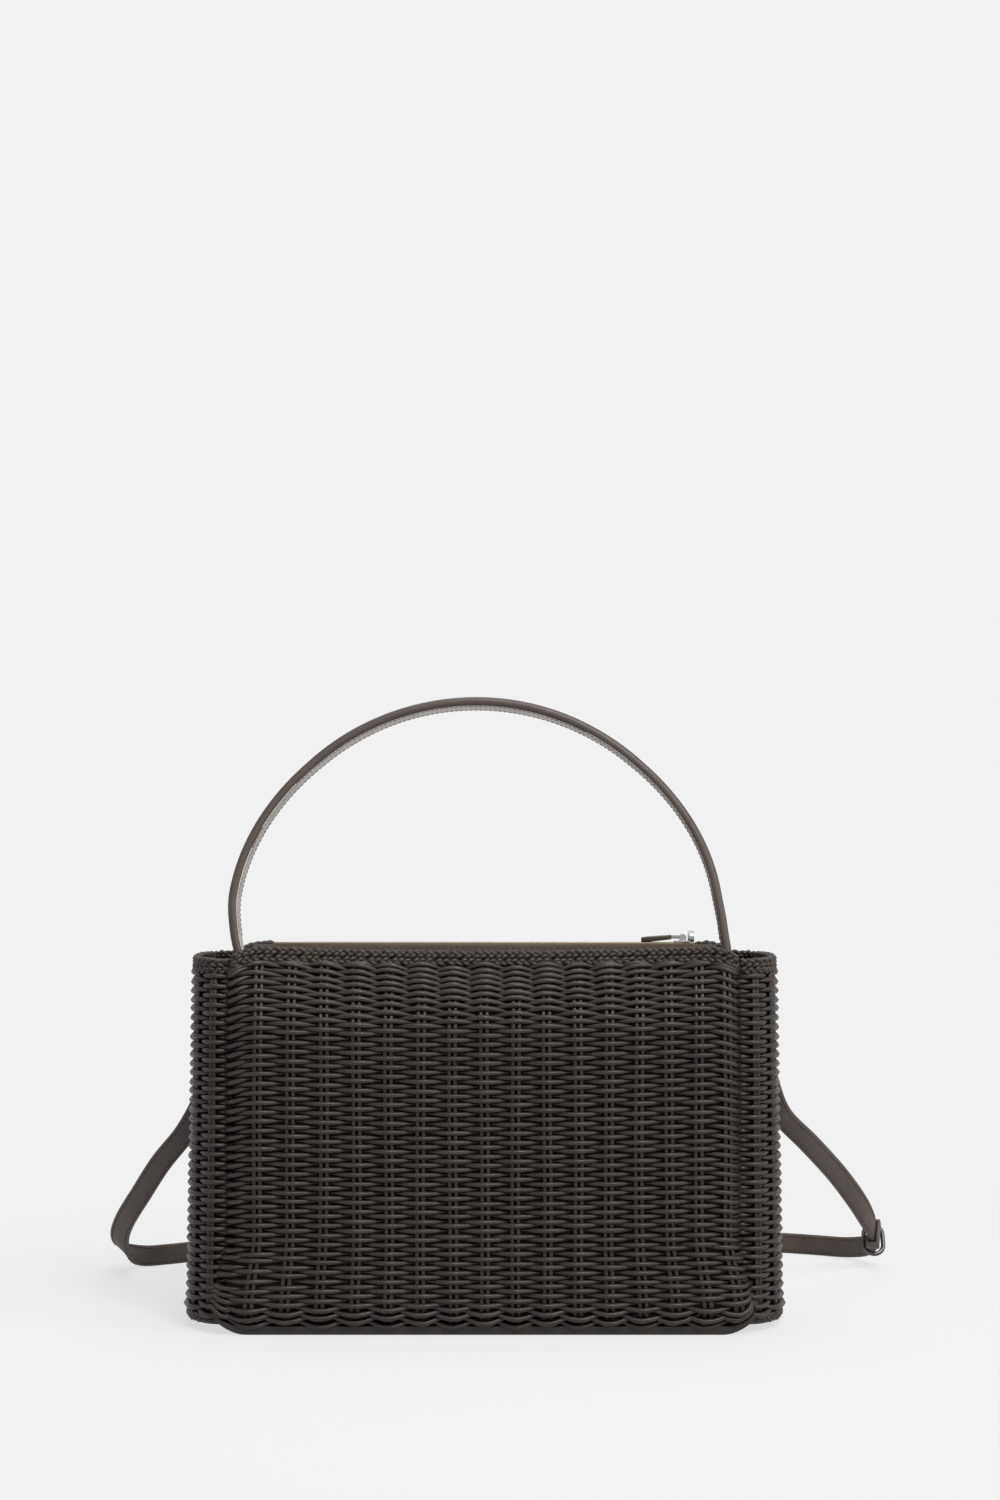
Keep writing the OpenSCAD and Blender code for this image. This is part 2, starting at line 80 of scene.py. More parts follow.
WING_TOP_REACH, WING_FOOT_REACH, WING_POWER = 19.5 * MM, 22.5 * MM, 0.83
WING_H = 178 * MM
WING_SPAN = 52 * MM
SEAM_X = HALF_W + 0.6 * MM

# Weave: the stakes stand a little closer towards the right, and a cord is fuller where it passes outside
STAKES, WING_STAKES = 16, 5
STAKE_FIRST, STAKE_STEP, STAKE_CLOSING = -106.8 * MM, 15.68 * MM, 0.0583 * MM
STAKE_SINK, STAKE_WANDER, STAKE_WAVES = 0.1 * MM, 0.35 * MM, (3, 7)
STAKE_POINTS, WING_STAKE_POINTS, ROW_POINTS = 60, 50, 10
PANEL_MARGIN, WING_SHARE, ROW_RANGE = 0.2 * MM, 0.985, (0.001, 0.999)
PANEL_TAILS = np.array([(-1.6, 3.2, 0), (1.6, 3.2, 0)]) * MM
WING_TAILS = np.array([(-2.6, 1.0, 0), (-2.6, -1.0, 0)]) * MM
CORD_FLARE, CORD_SIZES = 0.22, (0.95, 1.05)
DRIFT, DRIFT_RATES, DRIFT_SHARES = 0.0022, (0.15, 0.5), (0.2, 1)
ROW_NOISE, SIDE_NOISE, WAVE_START = 0.0005, 0.05, (0, 6.3)
ARCH, ARCH_FROM, ARCH_LOSS, ARCH_LOSS_POWER = 0.3, (0.8, 0.97), 1.0, 2.5
SCALLOP, SCALLOP_FROM = 0.45, (-0.09, -0.01)
FOOT_OUT, FOOT_FROM = 0.9 * MM, (-0.05, 0)
PRESS = 0.04
PACKING, PACKED_FROM, PACKING_STEPS = 0.32, (0.85, 0.96), 400
RUN_OUT, RUN_OUT_POWER = 1.2, 2.5
LOOSE, LOOSE_POWER, LOOSE_TO = 6, 3.5, (0.05, 0.3)

# Cloth behind the weave, coloured near black as painted shade in the gaps between the cords: its thickness,
# and for each wall half its width, its depth and its grid
LINING_T = 0.8 * MM
PANEL_LINING = HALF_W - 1 * MM, 3.2 * MM, 40
WING_LINING = 0.98, 3.4 * MM, 30

# Plaits of the rims, and the closing sole and the plaited hem at the foot of a wing
PLAIT_STRANDS, PLAIT_START = 3, 0.12
PLAIT_WANDER, PLAIT_WANDER_RATE = 0.35, 1.7
PLAIT_LOOSE, PLAIT_LOOSE_RATES = 0.16, (1.5, 2.6)
RIM_IN, RIM_BELOW, RIM_POINTS = 1.6 * MM, 0.98, 420
WING_RIM_IN, WING_RIM_POINTS = 2.0 * MM, 220
SOLE_IN, SOLE_UP, SOLE_LESS, SOLE_POINTS = 1.5 * MM, 0.6 * MM, 0.8 * MM, 33
HEM_SHARE, HEM_UP, HEM_IN, HEM_POINTS = 0.98, 0.9 * MM, 1.7 * MM, 200
HEM_SWING, HEM_DEPTH, HEM_R = 1.7 * MM, 0.9 * MM, 1.2 * MM

# Rounding of edges
BASE_EDGE, BAND_EDGE, STRAP_EDGE, RING_EDGE, FLOOR_EDGE = 1.2 * MM, 0.6 * MM, 0.5 * MM, 0.1 * MM, 0.8 * MM
TAPE_EDGE, TAPE_END_EDGE, PULL_EDGE, ZIP_EDGE, CROWN_EDGE = 0.3 * MM, 0.25 * MM, 0.7 * MM, 0.12 * MM, 0.2 * MM

# Stitches: shares of their pitch, and heights in thread radii
STITCH_AT = np.array([-0.36, -0.22, 0.22, 0.36])
STITCH_LIFT = np.array([-1.0, 0.3, 0.3, -1.0])

# Handle, from the height of its rivets
RIVET_LOW, RIVET_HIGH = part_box("right_rivet")
HINGE_Z = (RIVET_LOW.z + RIVET_HIGH.z) / 2
HANDLE_T = 4.5 * MM
HANDLE_W = 13 * MM
HANDLE_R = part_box("handle")[1].x - HANDLE_T / 2
HANDLE_RISE = 133 * MM
HANDLE_LEAN = math.radians(12)
HANDLE_TURN, HANDLE_TURN_W = math.radians(-4), 60 * MM
HANDLE_FREE, HANDLE_FREE_RIGHT = (0, 13 * MM), (0, 18 * MM)
HANDLE_SWAY, HANDLE_TOP_SWAY, HANDLE_TOP_FROM = 1.9 * MM, 2.4 * MM, (8 * MM, 36 * MM)
HANDLE_BELLY, HANDLE_BELLY_H = 2.2 * MM, 100 * MM
HANDLE_EDGE, HANDLE_SEAM, HANDLE_STITCH = 1.9 * MM, 2.4 * MM, 0.8
STITCHED_FROM = 10 * MM
LEG_FROM, UNDERSIDE_FROM = 0.93, 0.8

# Route of the shoulder strap, from the left tab round the back to the right tab
STRAP_ROUTE = np.array([
    (-138, 33, 145), (-139.5, 36, 128), (-142, 42, 107), (-152, 51, 86), (-167, 68, 67),
    (-179, 88, 49), (-190, 110, 32), (-195, 128, 20), (-194, 143, 11), (-186, 155, 6.2), (-173, 164, 5.6),
    (-158, 175, 5.6), (-138, 186, 5.6), (-110, 196, 5.6), (-76, 204, 5.6), (-38, 209, 5.6), (0, 211, 5.6),
    (38, 212, 5.6), (76, 212, 5.6), (110, 211, 5.6), (138, 208, 5.6), (160, 203, 5.6), (178, 195, 5.6),
    (192, 184, 6.2), (201, 170, 9), (204, 155, 14), (203, 147, 19), (200, 138, 26), (191.5, 120, 40),
    (178, 96, 58), (162, 72, 76), (146, 54, 93), (138.5, 41, 111), (138.5, 36, 129), (138, 33, 145)]) * MM
STRAP_SHIFT = 2.7 * MM
STRAP_ROUTE[2:-2, 0] += STRAP_SHIFT
STRAP_POINTS, STRAP_TWIST_POINTS = 240, 4
STRAP_LYING_LEFT, STRAP_LYING_FROM, STRAP_LYING_POINTS = 7, 5, 3
STRAP_TILT = math.radians(34)
STRAP_SEAM = 1.5 * MM
STRAP_HALF_SECTION = ((1, 0), (0.97, 0.6), (0.88, 1), (0, 1.08), (-0.88, 1), (-0.97, 0.6))
TAB_SHARE, TAB_STEP = 0.55, 0.02
TAB_Z = 145 * MM

# Tape, teeth, slider and leather pull of the zip
TAPE_FLAT, TAPE_T, TAPE_DROP, TAPE_GAP = 6.2 * MM, 1 * MM, 0.6 * MM, 0.6 * MM
TAPE_SEAMS, TAPE_POINTS = (0.12, 0.28), 120
TOOTH_STRETCH = 1.5
JOINTS = {joint["name"]: joint for joint in frame["record"]["behaviour"]["joints"]}
PIVOT = Vector(JOINTS["pull_flip"]["pos_m"])
CROWN_W, CROWN_T, CROWN_R = 2.8 * MM, 0.9 * MM, 2.5 * MM
CROWN_X, CROWN_FOOT = PIVOT.x + 4.0 * MM, PIVOT.z - 2.2 * MM
PULL_L, PULL_OVER = 14.6 * MM, 1.8 * MM
PULL_NECK, PULL_NECK_FROM, PULL_DROOP, PULL_THIN = 0.35, (-0.45, -0.3), 1.35 * MM, 0.3
SLIDER_PLATE, SLIDER_CEILING = 1.2 * MM, 0.8 * MM

# Camera of the photograph
CAMERA_X = 7.4 * MM
CAMERA_HEIGHT = 0.276
CAMERA_DISTANCE = 1.5
CAMERA_LENS = 76.6
CAMERA_SENSOR = 36.0

# Floor and light: each lamp with its place, size and power
FLOOR_SIZE, FLOOR_FADE, FLOOR_GLOW = 6, (0.2, 0.6), 0.75
AMBIENT = 0.1
LAMP_AIM = Vector((0, 0, 0.12))
LAMPS = {
    "key": ((0.9, -2.4, 3.0), 1.2, 98),
    "fill": ((2.8, -1.6, 1.6), 2.2, 44),
    "top": ((0, 0.6, 3.6), 2.6, 46),
}

# Sizes that a user can change, in millimetres
SIZES = {
    "row_pitch": ("Height of one woven row", 2.2),
    "cord_radius": ("Radius of a weaving cord", 1.12),
    "stake_radius": ("Radius of one cord of a stake", 1.16),
    "stake_spread": ("Half the spacing of the two cords of a stake", 1.42),
    "weave_swing": ("How far a row swings in and out at the stakes", 1.75),
    "plait_length": ("Length of one full turn of a plaited border", 11),
    "plait_radius": ("Radius of one strand of a plaited border", 1.12),
    "plait_swing": ("How far a plaited strand swings up and down", 1.15),
    "plait_depth": ("How far a plaited strand swings in and out", 0.95),
    "border_low": ("Height of the lower plait over the weave", 1.4),
    "border_high": ("Height of the upper plait over the weave", 5.0),
    "strap_width": ("Width of the shoulder strap", 11),
    "strap_thickness": ("Thickness of the shoulder strap", 2.4),
    "stitch_pitch": ("Spacing of the stitches", 3.0),
    "thread_radius": ("Radius of the sewing thread", 0.26),
}

# Colours that a user can change, in steps of 0 to 255
COLOURS = {
    "cord": ("Woven leather cord", 43, 34, 27),
    "base": ("Smooth leather of the base", 36, 31, 28),
    "handle": ("Leather of the handle", 70, 59, 54),
    "underside": ("Pale lining of the handle's underside", 196, 191, 187),
    "strap": ("Leather of the shoulder strap", 72, 61, 55),
    "pull": ("Leather of the zip's pull tab", 58, 50, 36),
    # the lining's near-black colour is painted shade for the gaps between the cords
    "lining": ("Dark cloth behind the weave", 12, 9, 8),
    "tape": ("Facing of the zip", 60, 47, 37),
    "brass": ("Teeth of the zip", 126, 113, 95),
    "silver": ("Slider and link", 168, 168, 170),
    "steel": ("Ring and rivets", 84, 82, 80),
    "floor": ("Floor and backdrop", 241, 241, 241),
}

# Leathers and cloth by the name of their colour: mottle, grain, gloss, bump and coat
LEATHERS = {
    "cord": ("Woven cord leather", 0.28, 1500, (0.36, 0.55), 0.2),
    "base": ("Base leather", 0.2, 900, (0.4, 0.55)),
    # the lining cloth is coloured near black as painted shade in the gaps of the weave
    "lining": ("Lining cloth", 0.1, 2500, (0.8, 0.95)),
    "strap": ("Strap leather", 0.16, 1100, (0.45, 0.6)),
    "handle": ("Handle leather", 0.12, 1000, (0.38, 0.52), 0.1, 0.1),
    "underside": ("Handle underside", 0.08, 1400, (0.6, 0.75), 0.12),
    "pull": ("Pull leather", 0.25, 900, (0.4, 0.5)),
}
RELIEF = 0.2 * MM
NOISE_RANGE = {"From Min": 0.3, "From Max": 0.7}


def linear(red, green, blue):
    """Linear colour of an sRGB one given in steps of 0 to 255."""
    def channel(step):
        c = step / 255
        return c / 12.92 if c <= 0.04045 else ((c + 0.055) / 1.055) ** 2.4
    return channel(red), channel(green), channel(blue)


def length_prop(key, description, default):
    """A size that a user can change, with its default in millimetres."""
    return bpy.props.FloatProperty(
        name=key.replace("_", " "), description=description, default=default * MM, unit="LENGTH", precision=5)


def colour_prop(key, description, *steps):
    """A colour that a user can change, with its default in steps of 0 to 255."""
    return bpy.props.FloatVectorProperty(
        name=key, description=description, default=linear(*steps), subtype="COLOR", size=3, min=0, max=1)


class BagSizes(bpy.types.PropertyGroup):
    """Sizes of the weave, the plaits and the stitching."""
    __annotations__ = {key: length_prop(key, *entry) for key, entry in SIZES.items()}


class BagColours(bpy.types.PropertyGroup):
    """Colours of the leathers, the tape and the metals."""
    __annotations__ = {key: colour_prop(key, *entry) for key, entry in COLOURS.items()}


# Walls as functions of place, on numpy arrays
def rise(value, low, high):
    """A smooth step from 0 at low to 1 at high."""
    share = np.clip((value - low) / (high - low), 0, 1)
    return share * share * (3 - 2 * share)


def edge_turn(x):
    """How far a panel turns in towards its seams."""
    e = np.clip((np.abs(x) - (HALF_W - EDGE_W)) / EDGE_W, 0, 1)
    return EDGE_IN * (1 - np.sqrt(1 - e * e))


def end_lift(x):
    """How far the foot of a panel rises round the ends of the base."""
    over = np.clip(np.abs(x) - (HALF_W - BASE_END_R), 0, BASE_END_R)
    return BASE_END_R - np.sqrt(BASE_END_R ** 2 - over ** 2)


def lean(z):
    """How far a wall leans in near the top."""
    return LEAN_IN * (np.clip(z - (BODY_H - LEAN_H), 0, None) / LEAN_H) ** LEAN_POWER


def mid_lean(x):
    """How much more a panel leans in its middle than at its seams."""
    return 1 + (LEAN_MID / LEAN_IN - 1) * (1 - (x / HALF_W) ** 4)


def tuck(z):
    """How far a wall is tucked in at its foot."""
    return np.minimum(FOOT_IN, FOOT_IN * (np.clip(FOOT_H + PANEL_FOOT - z, 0, None) / FOOT_H) ** 2)


def sag(x):
    """How far a rim hangs in its middle and drops at its corners."""
    corner = np.clip((np.abs(x) - HALF_W + CORNER_W) / CORNER_W, 0, 1)
    return RIM_SAG * (1 - (x / HALF_W) ** 2) + CORNER_DROP * corner ** 2


def panel_wall(x, z):
    """Depth of the front panel's outer face."""
    return -HALF_D + edge_turn(x) + lean(z) * mid_lean(x) + tuck(z)


def panel_point(x, v):
    """Outer face of the front panel at x, with v from 0 at the foot to 1 at the top."""
    x, v = np.broadcast_arrays(np.asarray(x, float), np.asarray(v, float))
    level = v * (PANEL_TOP - sag(x) - PANEL_FOOT)
    z = PANEL_FOOT + level + end_lift(x) * np.clip(1 - level / END_LIFT_H, 0, 1) ** END_LIFT_POWER
    return np.stack([x, panel_wall(x, z), z], -1)


def wing_plan(t, z, inset=0.0):
    """Outer face of the right wing, with t from -1 at the front seam to 1 at the back seam."""
    t, z = np.broadcast_arrays(np.asarray(t, float), np.asarray(z, float))
    angle = t * math.pi / 2
    reach = WING_FOOT_REACH + (WING_TOP_REACH - WING_FOOT_REACH) * z / WING_H - inset
    depth = HALF_D - EDGE_IN - lean(z) - tuck(z) - inset
    x = SEAM_X + reach * np.clip(np.cos(angle), 0, None) ** WING_POWER
    y = depth * np.sign(t) * np.abs(np.sin(angle)) ** WING_POWER
    return np.stack([x, y, z], -1)


def wing_point(t, v):
    """Outer face of the right wing between its floor and its rim."""
    return wing_plan(t, WING_LOW.z + np.asarray(v, float) * (WING_HIGH.z - WING_LOW.z))


def on_wall(surface, u, v, lift):
    """Point of a wall moved by lift along its outward direction."""
    step = 1e-4
    across = surface(u + step, v) - surface(u - step, v)
    up = surface(u, np.minimum(v + step * 10, 1)) - surface(u, np.maximum(v - step * 10, 0))
    out = np.cross(across, up)
    out /= np.linalg.norm(out, axis=-1, keepdims=True)
    return surface(u, v) + out * np.asarray(lift)[..., None]


# Lines
def unit(v):
    """Vectors of the same directions with length 1."""
    return v / np.linalg.norm(v, axis=-1, keepdims=True)


def run_of(line):
    """Length of a line up to each of its points."""
    return np.r_[0, np.cumsum(np.linalg.norm(np.diff(line, axis=0), axis=1))]


def along(at, run, values):
    """Points or directions at given lengths along a line."""
    return np.stack([np.interp(at, run, values[:, k]) for k in range(3)], -1)


def smooth_line(points, count):
    """A smooth line through points, as count points evenly spaced along it."""
    p = np.vstack([2 * points[0] - points[1], points, 2 * points[-1] - points[-2]])
    fine = []
    for i in range(1, len(p) - 2):
        u = np.linspace(0, 1, 24, endpoint=False)[:, None]
        a, b, c, d = p[i - 1], p[i], p[i + 1], p[i + 2]
        square, cube = 2 * a - 5 * b + 4 * c - d, 3 * b - a - 3 * c + d
        fine.append(0.5 * (2 * b + (c - a) * u + square * u ** 2 + cube * u ** 3))
    line = np.vstack(fine + [points[-1:]])
    run = run_of(line)
    return along(np.linspace(0, run[-1], count), run, line)


def stitches(line, out, pitch, radius):
    """Paths of stitches along a line: each dips into the leather at both ends."""
    run = run_of(line)
    paths = []
    for k in range(int(run[-1] / pitch)):
        at = (k + 0.5) * pitch + STITCH_AT * pitch
        paths.append(along(at, run, line) + along(at, run, out) * (radius * STITCH_LIFT)[:, None])
    return paths


# Making pieces
def link(name, mesh, material, node=None, body="bag"):
    """A piece from a mesh that rides on a body, in place of a solid part where one is named."""
    piece = bpy.data.objects.new(name, mesh)
    bpy.context.scene.collection.objects.link(piece)
    mesh.materials.clear()
    for one in material if isinstance(material, (list, tuple)) else [material]:
        mesh.materials.append(one)
    mesh.polygons.foreach_set("use_smooth", np.full(len(mesh.polygons), True))
    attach(piece, body)
    if node:
        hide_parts(node)
    return piece


def cords_mesh(name, paths, radius, resolution=1, radii=None):
    """One mesh of round cords, each along a line of points."""
    curve = bpy.data.curves.new(name, "CURVE")
    curve.dimensions = "3D"
    curve.bevel_depth = radius
    curve.bevel_resolution = resolution
    curve.use_fill_caps = True
    for k, path in enumerate(paths):
        spline = curve.splines.new("POLY")
        spline.points.add(len(path) - 1)
        spline.points.foreach_set("co", np.c_[path, np.ones(len(path))].ravel())
        if radii is not None:
            spline.points.foreach_set("radius", np.asarray(radii[k], float))
    holder = bpy.data.objects.new(name, curve)
    bpy.context.scene.collection.objects.link(holder)
    shaped = holder.evaluated_get(bpy.context.evaluated_depsgraph_get())
    mesh = bpy.data.meshes.new_from_object(shaped)
    bpy.data.objects.remove(holder)
    bpy.data.curves.remove(curve)
    return mesh


def to_mesh(bm, name):
    """A mesh from a bmesh, which is freed."""
    mesh = bpy.data.meshes.new(name)
    bm.to_mesh(mesh)
    bm.free()
    return mesh


def mirrored(mesh, axis):
    """A mirror copy of a mesh, with its faces turned the right way."""
    bm = bmesh.new()
    bm.from_mesh(mesh)
    scale = [1, 1, 1]
    scale["XYZ".index(axis)] = -1
    bmesh.ops.scale(bm, vec=scale, verts=bm.verts)
    bmesh.ops.reverse_faces(bm, faces=bm.faces)
    return to_mesh(bm, mesh.name)


def drawn_out(bm, face):
    """The new end face of a face that is extruded in place."""
    made = bmesh.ops.extrude_face_region(bm, geom=[face])["geom"]
    return next(g for g in made if isinstance(g, bmesh.types.BMFace))


def clear_inside(bm):
    """Removes the faces that extrusion leaves inside a strip, and turns the others outwards."""
    inner = [face for face in bm.faces if all(len(edge.link_faces) > 2 for edge in face.edges)]
    bmesh.ops.delete(bm, geom=inner, context="FACES_ONLY")
    bmesh.ops.recalc_face_normals(bm, faces=bm.faces)


def loft(rings):
    """A bmesh skin over rings of points: a face on the first ring, drawn out from ring to ring."""
    bm = bmesh.new()
    row = [bm.verts.new(p) for p in rings[0]]
    end = bm.faces.new(row)
    for ring in rings[1:]:
        end = drawn_out(bm, end)
        twins = {vert.co.to_tuple(): vert for vert in end.verts}
        row = [twins[vert.co.to_tuple()] for vert in row]
        for vert, place in zip(row, ring):
            vert.co = place
    clear_inside(bm)
    return bm


def copy_of_node(node):
    """A merged bmesh copy of a solid part."""
    bm = bmesh.new()
    bm.from_mesh(frame["nodes"][node].data)
    bmesh.ops.remove_doubles(bm, verts=bm.verts, dist=1e-6)
    bmesh.ops.dissolve_limit(bm, angle_limit=math.radians(1), verts=bm.verts, edges=bm.edges)
    return bm


def soften(bm, width, angle=50):
    """Rounds the edges of a bmesh that are sharper than an angle in degrees."""
    sharp = [e for e in bm.edges if len(e.link_faces) == 2 and e.calc_face_angle(0) > math.radians(angle)]
    bmesh.ops.bevel(bm, geom=sharp, offset=width, offset_type="OFFSET", affect="EDGES", segments=3,
                    profile=0.5, material=-1, clamp_overlap=True)
    return bm


def dress(node, name, width, material, body="bag"):
    """A piece shaped like a solid part, with its edges rounded."""
    return link(name, to_mesh(soften(copy_of_node(node), width), name), material, node, body)


# Finishes
def set_inputs(node, values):
    """Gives values to the inputs of a node."""
    for socket, value in values.items():
        node.inputs[socket].default_value = value
    return node


def add_node(tree, kind, values=None, **settings):
    """A new shader node of a tree, with its settings and the values of its inputs."""
    node = tree.nodes.new("ShaderNode" + kind)
    for name, value in settings.items():
        setattr(node, name, value)
    return set_inputs(node, values or {})


def connect(tree, *links):
    """Makes links, each given as a node and its output, then a node and its input."""
    for start, output, end, socket in links:
        tree.links.new(start.outputs[output], end.inputs[socket])


def new_material(name, values):
    """A material, its node tree and its shader with the values of its inputs."""
    material = bpy.data.materials.new(name)
    material.use_nodes = True
    tree = material.node_tree
    return material, tree, set_inputs(tree.nodes["Principled BSDF"], values)


def leather_group():
    """Shared leather finish: mottled colour, uneven gloss and a fine grain."""
    group = bpy.data.node_groups.get("Leather finish")
    if group:
        return group
    group = bpy.data.node_groups.new("Leather finish", "ShaderNodeTree")
    for side, names in (("INPUT", ("Colour", "Mottle", "Grain scale", "Gloss low", "Gloss high")),
                        ("OUTPUT", ("Colour", "Roughness", "Height"))):
        for name in names:
            kind = "NodeSocketColor" if name == "Colour" else "NodeSocketFloat"
            group.interface.new_socket(name, in_out=side, socket_type=kind)
    start, end = group.nodes.new("NodeGroupInput"), group.nodes.new("NodeGroupOutput")
    place = add_node(group, "TexCoord")
    broad = add_node(group, "TexNoise", {"Scale": 70, "Detail": 4})
    fine = add_node(group, "TexVoronoi")
    speck = add_node(group, "TexNoise", {"Scale": 520, "Detail": 3})
    tone = add_node(group, "MapRange", NOISE_RANGE)
    low = add_node(group, "Math", {0: 1}, operation="SUBTRACT")
    high = add_node(group, "Math", {0: 1}, operation="ADD")
    tint = add_node(group, "VectorMath", operation="SCALE")
    gloss = add_node(group, "MapRange", NOISE_RANGE)
    relief = add_node(group, "Math", operation="ADD")
    connect(
        group, *((place, "Object", texture, "Vector") for texture in (broad, fine, speck)),
        (start, "Grain scale", fine, "Scale"), (broad, "Fac", tone, "Value"), (start, "Mottle", low, 1),
        (start, "Mottle", high, 1), (low, 0, tone, "To Min"), (high, 0, tone, "To Max"),
        (start, "Colour", tint, 0), (tone, 0, tint, "Scale"), (speck, "Fac", gloss, "Value"),
        (start, "Gloss low", gloss, "To Min"), (start, "Gloss high", gloss, "To Max"),
        (fine, "Distance", relief, 0), (speck, "Fac", relief, 1), (tint, 0, end, "Colour"),
        (gloss, 0, end, "Roughness"), (relief, 0, end, "Height"))
    return group


def leather(name, colour, mottle, grain, gloss, bump=0.25, coat=0.0):
    """A leather material."""
    made = bpy.data.materials.get(name)
    if made:
        return made
    material, tree, shader = new_material(
        name, {"Specular IOR Level": 0.4, "Coat Weight": coat, "Coat Roughness": 0.35})
    finish = add_node(
        tree, "Group",
        {"Colour": (*colour, 1), "Mottle": mottle, "Grain scale": grain,
         "Gloss low": gloss[0], "Gloss high": gloss[1]},
        node_tree=leather_group())
    relief = add_node(tree, "Bump", {"Strength": bump, "Distance": RELIEF})
    connect(
        tree, (finish, "Colour", shader, "Base Color"), (finish, "Roughness", shader, "Roughness"),
        (finish, "Height", relief, "Height"), (relief, "Normal", shader, "Normal"))
    return material


def leather_of(part):
    """The leather or cloth of a part of the bag, in the colour of that name."""
    name, *finish = LEATHERS[part]
    return leather(name, getattr(bpy.context.scene.bag_colours, part), *finish)


def thread(name, colour):
    """A sewing thread."""
    return leather(name, colour, mottle=0.1, grain=3000, gloss=(0.6, 0.8), bump=0.1)


def metal(name, colour, gloss=(0.18, 0.32)):
    """A metal with faint handling marks."""
    made = bpy.data.materials.get(name)
    if made:
        return made
    material, tree, shader = new_material(name, {"Base Color": (*colour, 1), "Metallic": 1})
    place = add_node(tree, "TexCoord")
    marks = add_node(tree, "TexNoise", {"Scale": 400, "Detail": 5})
    rough = add_node(tree, "MapRange", {"To Min": gloss[0], "To Max": gloss[1]})
    connect(
        tree, (place, "Object", marks, "Vector"), (marks, "Fac", rough, "Value"),
        (rough, 0, shader, "Roughness"))
    return material


def woven_tape(name, colour):
    """The zip's facing: a fine ribbed tape."""
    made = bpy.data.materials.get(name)
    if made:
        return made
    material = leather(name, colour, mottle=0.18, grain=2600, gloss=(0.7, 0.85), bump=0.1)
    tree = material.node_tree
    place = add_node(tree, "TexCoord")
    ribs = add_node(tree, "TexWave", {"Scale": 700}, wave_type="BANDS", bands_direction="DIAGONAL")
    relief = add_node(tree, "Bump", {"Strength": 0.5, "Distance": RELIEF})
    connect(
        tree, (place, "Object", ribs, "Vector"), (ribs, "Fac", relief, "Height"),
        (tree.nodes["Bump"], "Normal", relief, "Normal"),
        (relief, "Normal", tree.nodes["Principled BSDF"], "Normal"))
    return material


def seen(tree):
    """A node that gives 1 for what the camera sees, straight or mirrored, and 0 for other light."""
    rays = add_node(tree, "LightPath")
    either = add_node(tree, "Math", operation="MAXIMUM")
    connect(tree, (rays, "Is Camera Ray", either, 0), (rays, "Is Glossy Ray", either, 1))
    return either


def blend(tree, share, first, second, output):
    """Shows a second shader over a first one, by the share that a node gives."""
    mix = add_node(tree, "MixShader")
    connect(
        tree, (share, 0, mix, 0), (first, 0, mix, 1), (second, 0, mix, 2),
        (mix, 0, tree.nodes[output], "Surface"))


# Weaving
def even_rows(surface, u, pitch, packing=0.0):
    """Heights of the rows, as shares, at an even pitch along the wall at u, packed closer near the top."""
    v = np.linspace(0, 1, PACKING_STEPS)
    run = np.linalg.norm(np.diff(surface(u, v), axis=0), axis=1)
    rows = np.r_[0, np.cumsum(run / pitch * (1 + packing * rise(v[1:], *PACKED_FROM)))]
    count = round(rows[-1])
    return np.interp((np.arange(count) + 0.5) / count * rows[-1], rows, v)


def run_out(heights, x):
    """Heights of the rows along x: towards the corners they keep their spacing and run out under the rim."""
    mid = len(heights) // 2
    step = heights[mid + 1] - heights[mid]
    free = np.maximum(heights, heights[mid] + (np.arange(len(heights)) - mid) * step)
    share = np.clip(RUN_OUT * np.abs(x / HALF_W) ** RUN_OUT_POWER, 0, 1)
    return heights[:, None] + (free - heights)[:, None] * share


def spread_foot(mesh):
    """Bulges the lower corners of a panel or of the base sideways."""
    for vert in mesh.vertices:
        x, z = vert.co.x, vert.co.z
        out = float(rise(z, *BULGE_RISE) * (1 - rise(z, *BULGE_FALL)))
        vert.co.x += BULGE * out * (x / HALF_W) ** 3


def settle(mesh):
    """Lets the top of the back panel hang lower in its middle."""
    for vert in mesh.vertices:
        high = float(rise(vert.co.z, BODY_H - LEAN_H, BODY_H - RIM_SAG))
        vert.co.z -= BACK_SAG * high * max(0, 1 - (vert.co.x / HALF_W) ** 4)
    return mesh


def woven_paths(surface, u, phase, heights, swing, bow, tails, rng):
    """Rows of cord that pass in front of every other stake, the next row the other way.

    The rows arch up by bow where the wall leans back at the top, and hang in scallops at its foot.
    """
    paths, radii = [], []
    for j, height in enumerate(heights):
        wave = np.sin(phase * rng.uniform(*DRIFT_RATES) + rng.uniform(*WAVE_START))
        drift = DRIFT * wave * rng.uniform(*DRIFT_SHARES)
        drift *= 1 + LOOSE * np.abs(u / u[-1]) ** LOOSE_POWER * (1 - rise(height, *LOOSE_TO))
        v = np.clip(height + drift + rng.normal(0, ROW_NOISE), *ROW_RANGE)
        side = np.cos(math.pi * (phase + j)) * (1 + rng.normal(0, SIDE_NOISE, len(u)))
        arch, scallop = rise(v, *ARCH_FROM), rise(-v, *SCALLOP_FROM)
        path = on_wall(surface, u, v, swing * side - swing - RIDGE / 2 + FOOT_OUT * rise(-v, *FOOT_FROM))
        path[:, 2] += swing * side * (bow * arch - SCALLOP * scallop)
        paths.append(np.vstack([path[:1] + tails[0], path, path[-1:] + tails[1]]))
        thick = rng.uniform(*CORD_SIZES) * (1 + CORD_FLARE * side + PRESS * (arch + scallop))
        radii.append(np.r_[thick[0], thick, thick[-1]])
    return paths, radii


def stake_paths(surface, middles, spread, depth, count, wander, rng):
    """Pairs of upright cords that the rows pass round."""
    paths = []
    v = np.linspace(0.0, 1.0, count)
    for middle in middles:
        sway = wander * np.sin(v * rng.uniform(*STAKE_WAVES) + rng.uniform(*WAVE_START))
        for side in (-1, 1):
            paths.append(on_wall(surface, middle + sway + side * spread, v, -depth))
    return paths


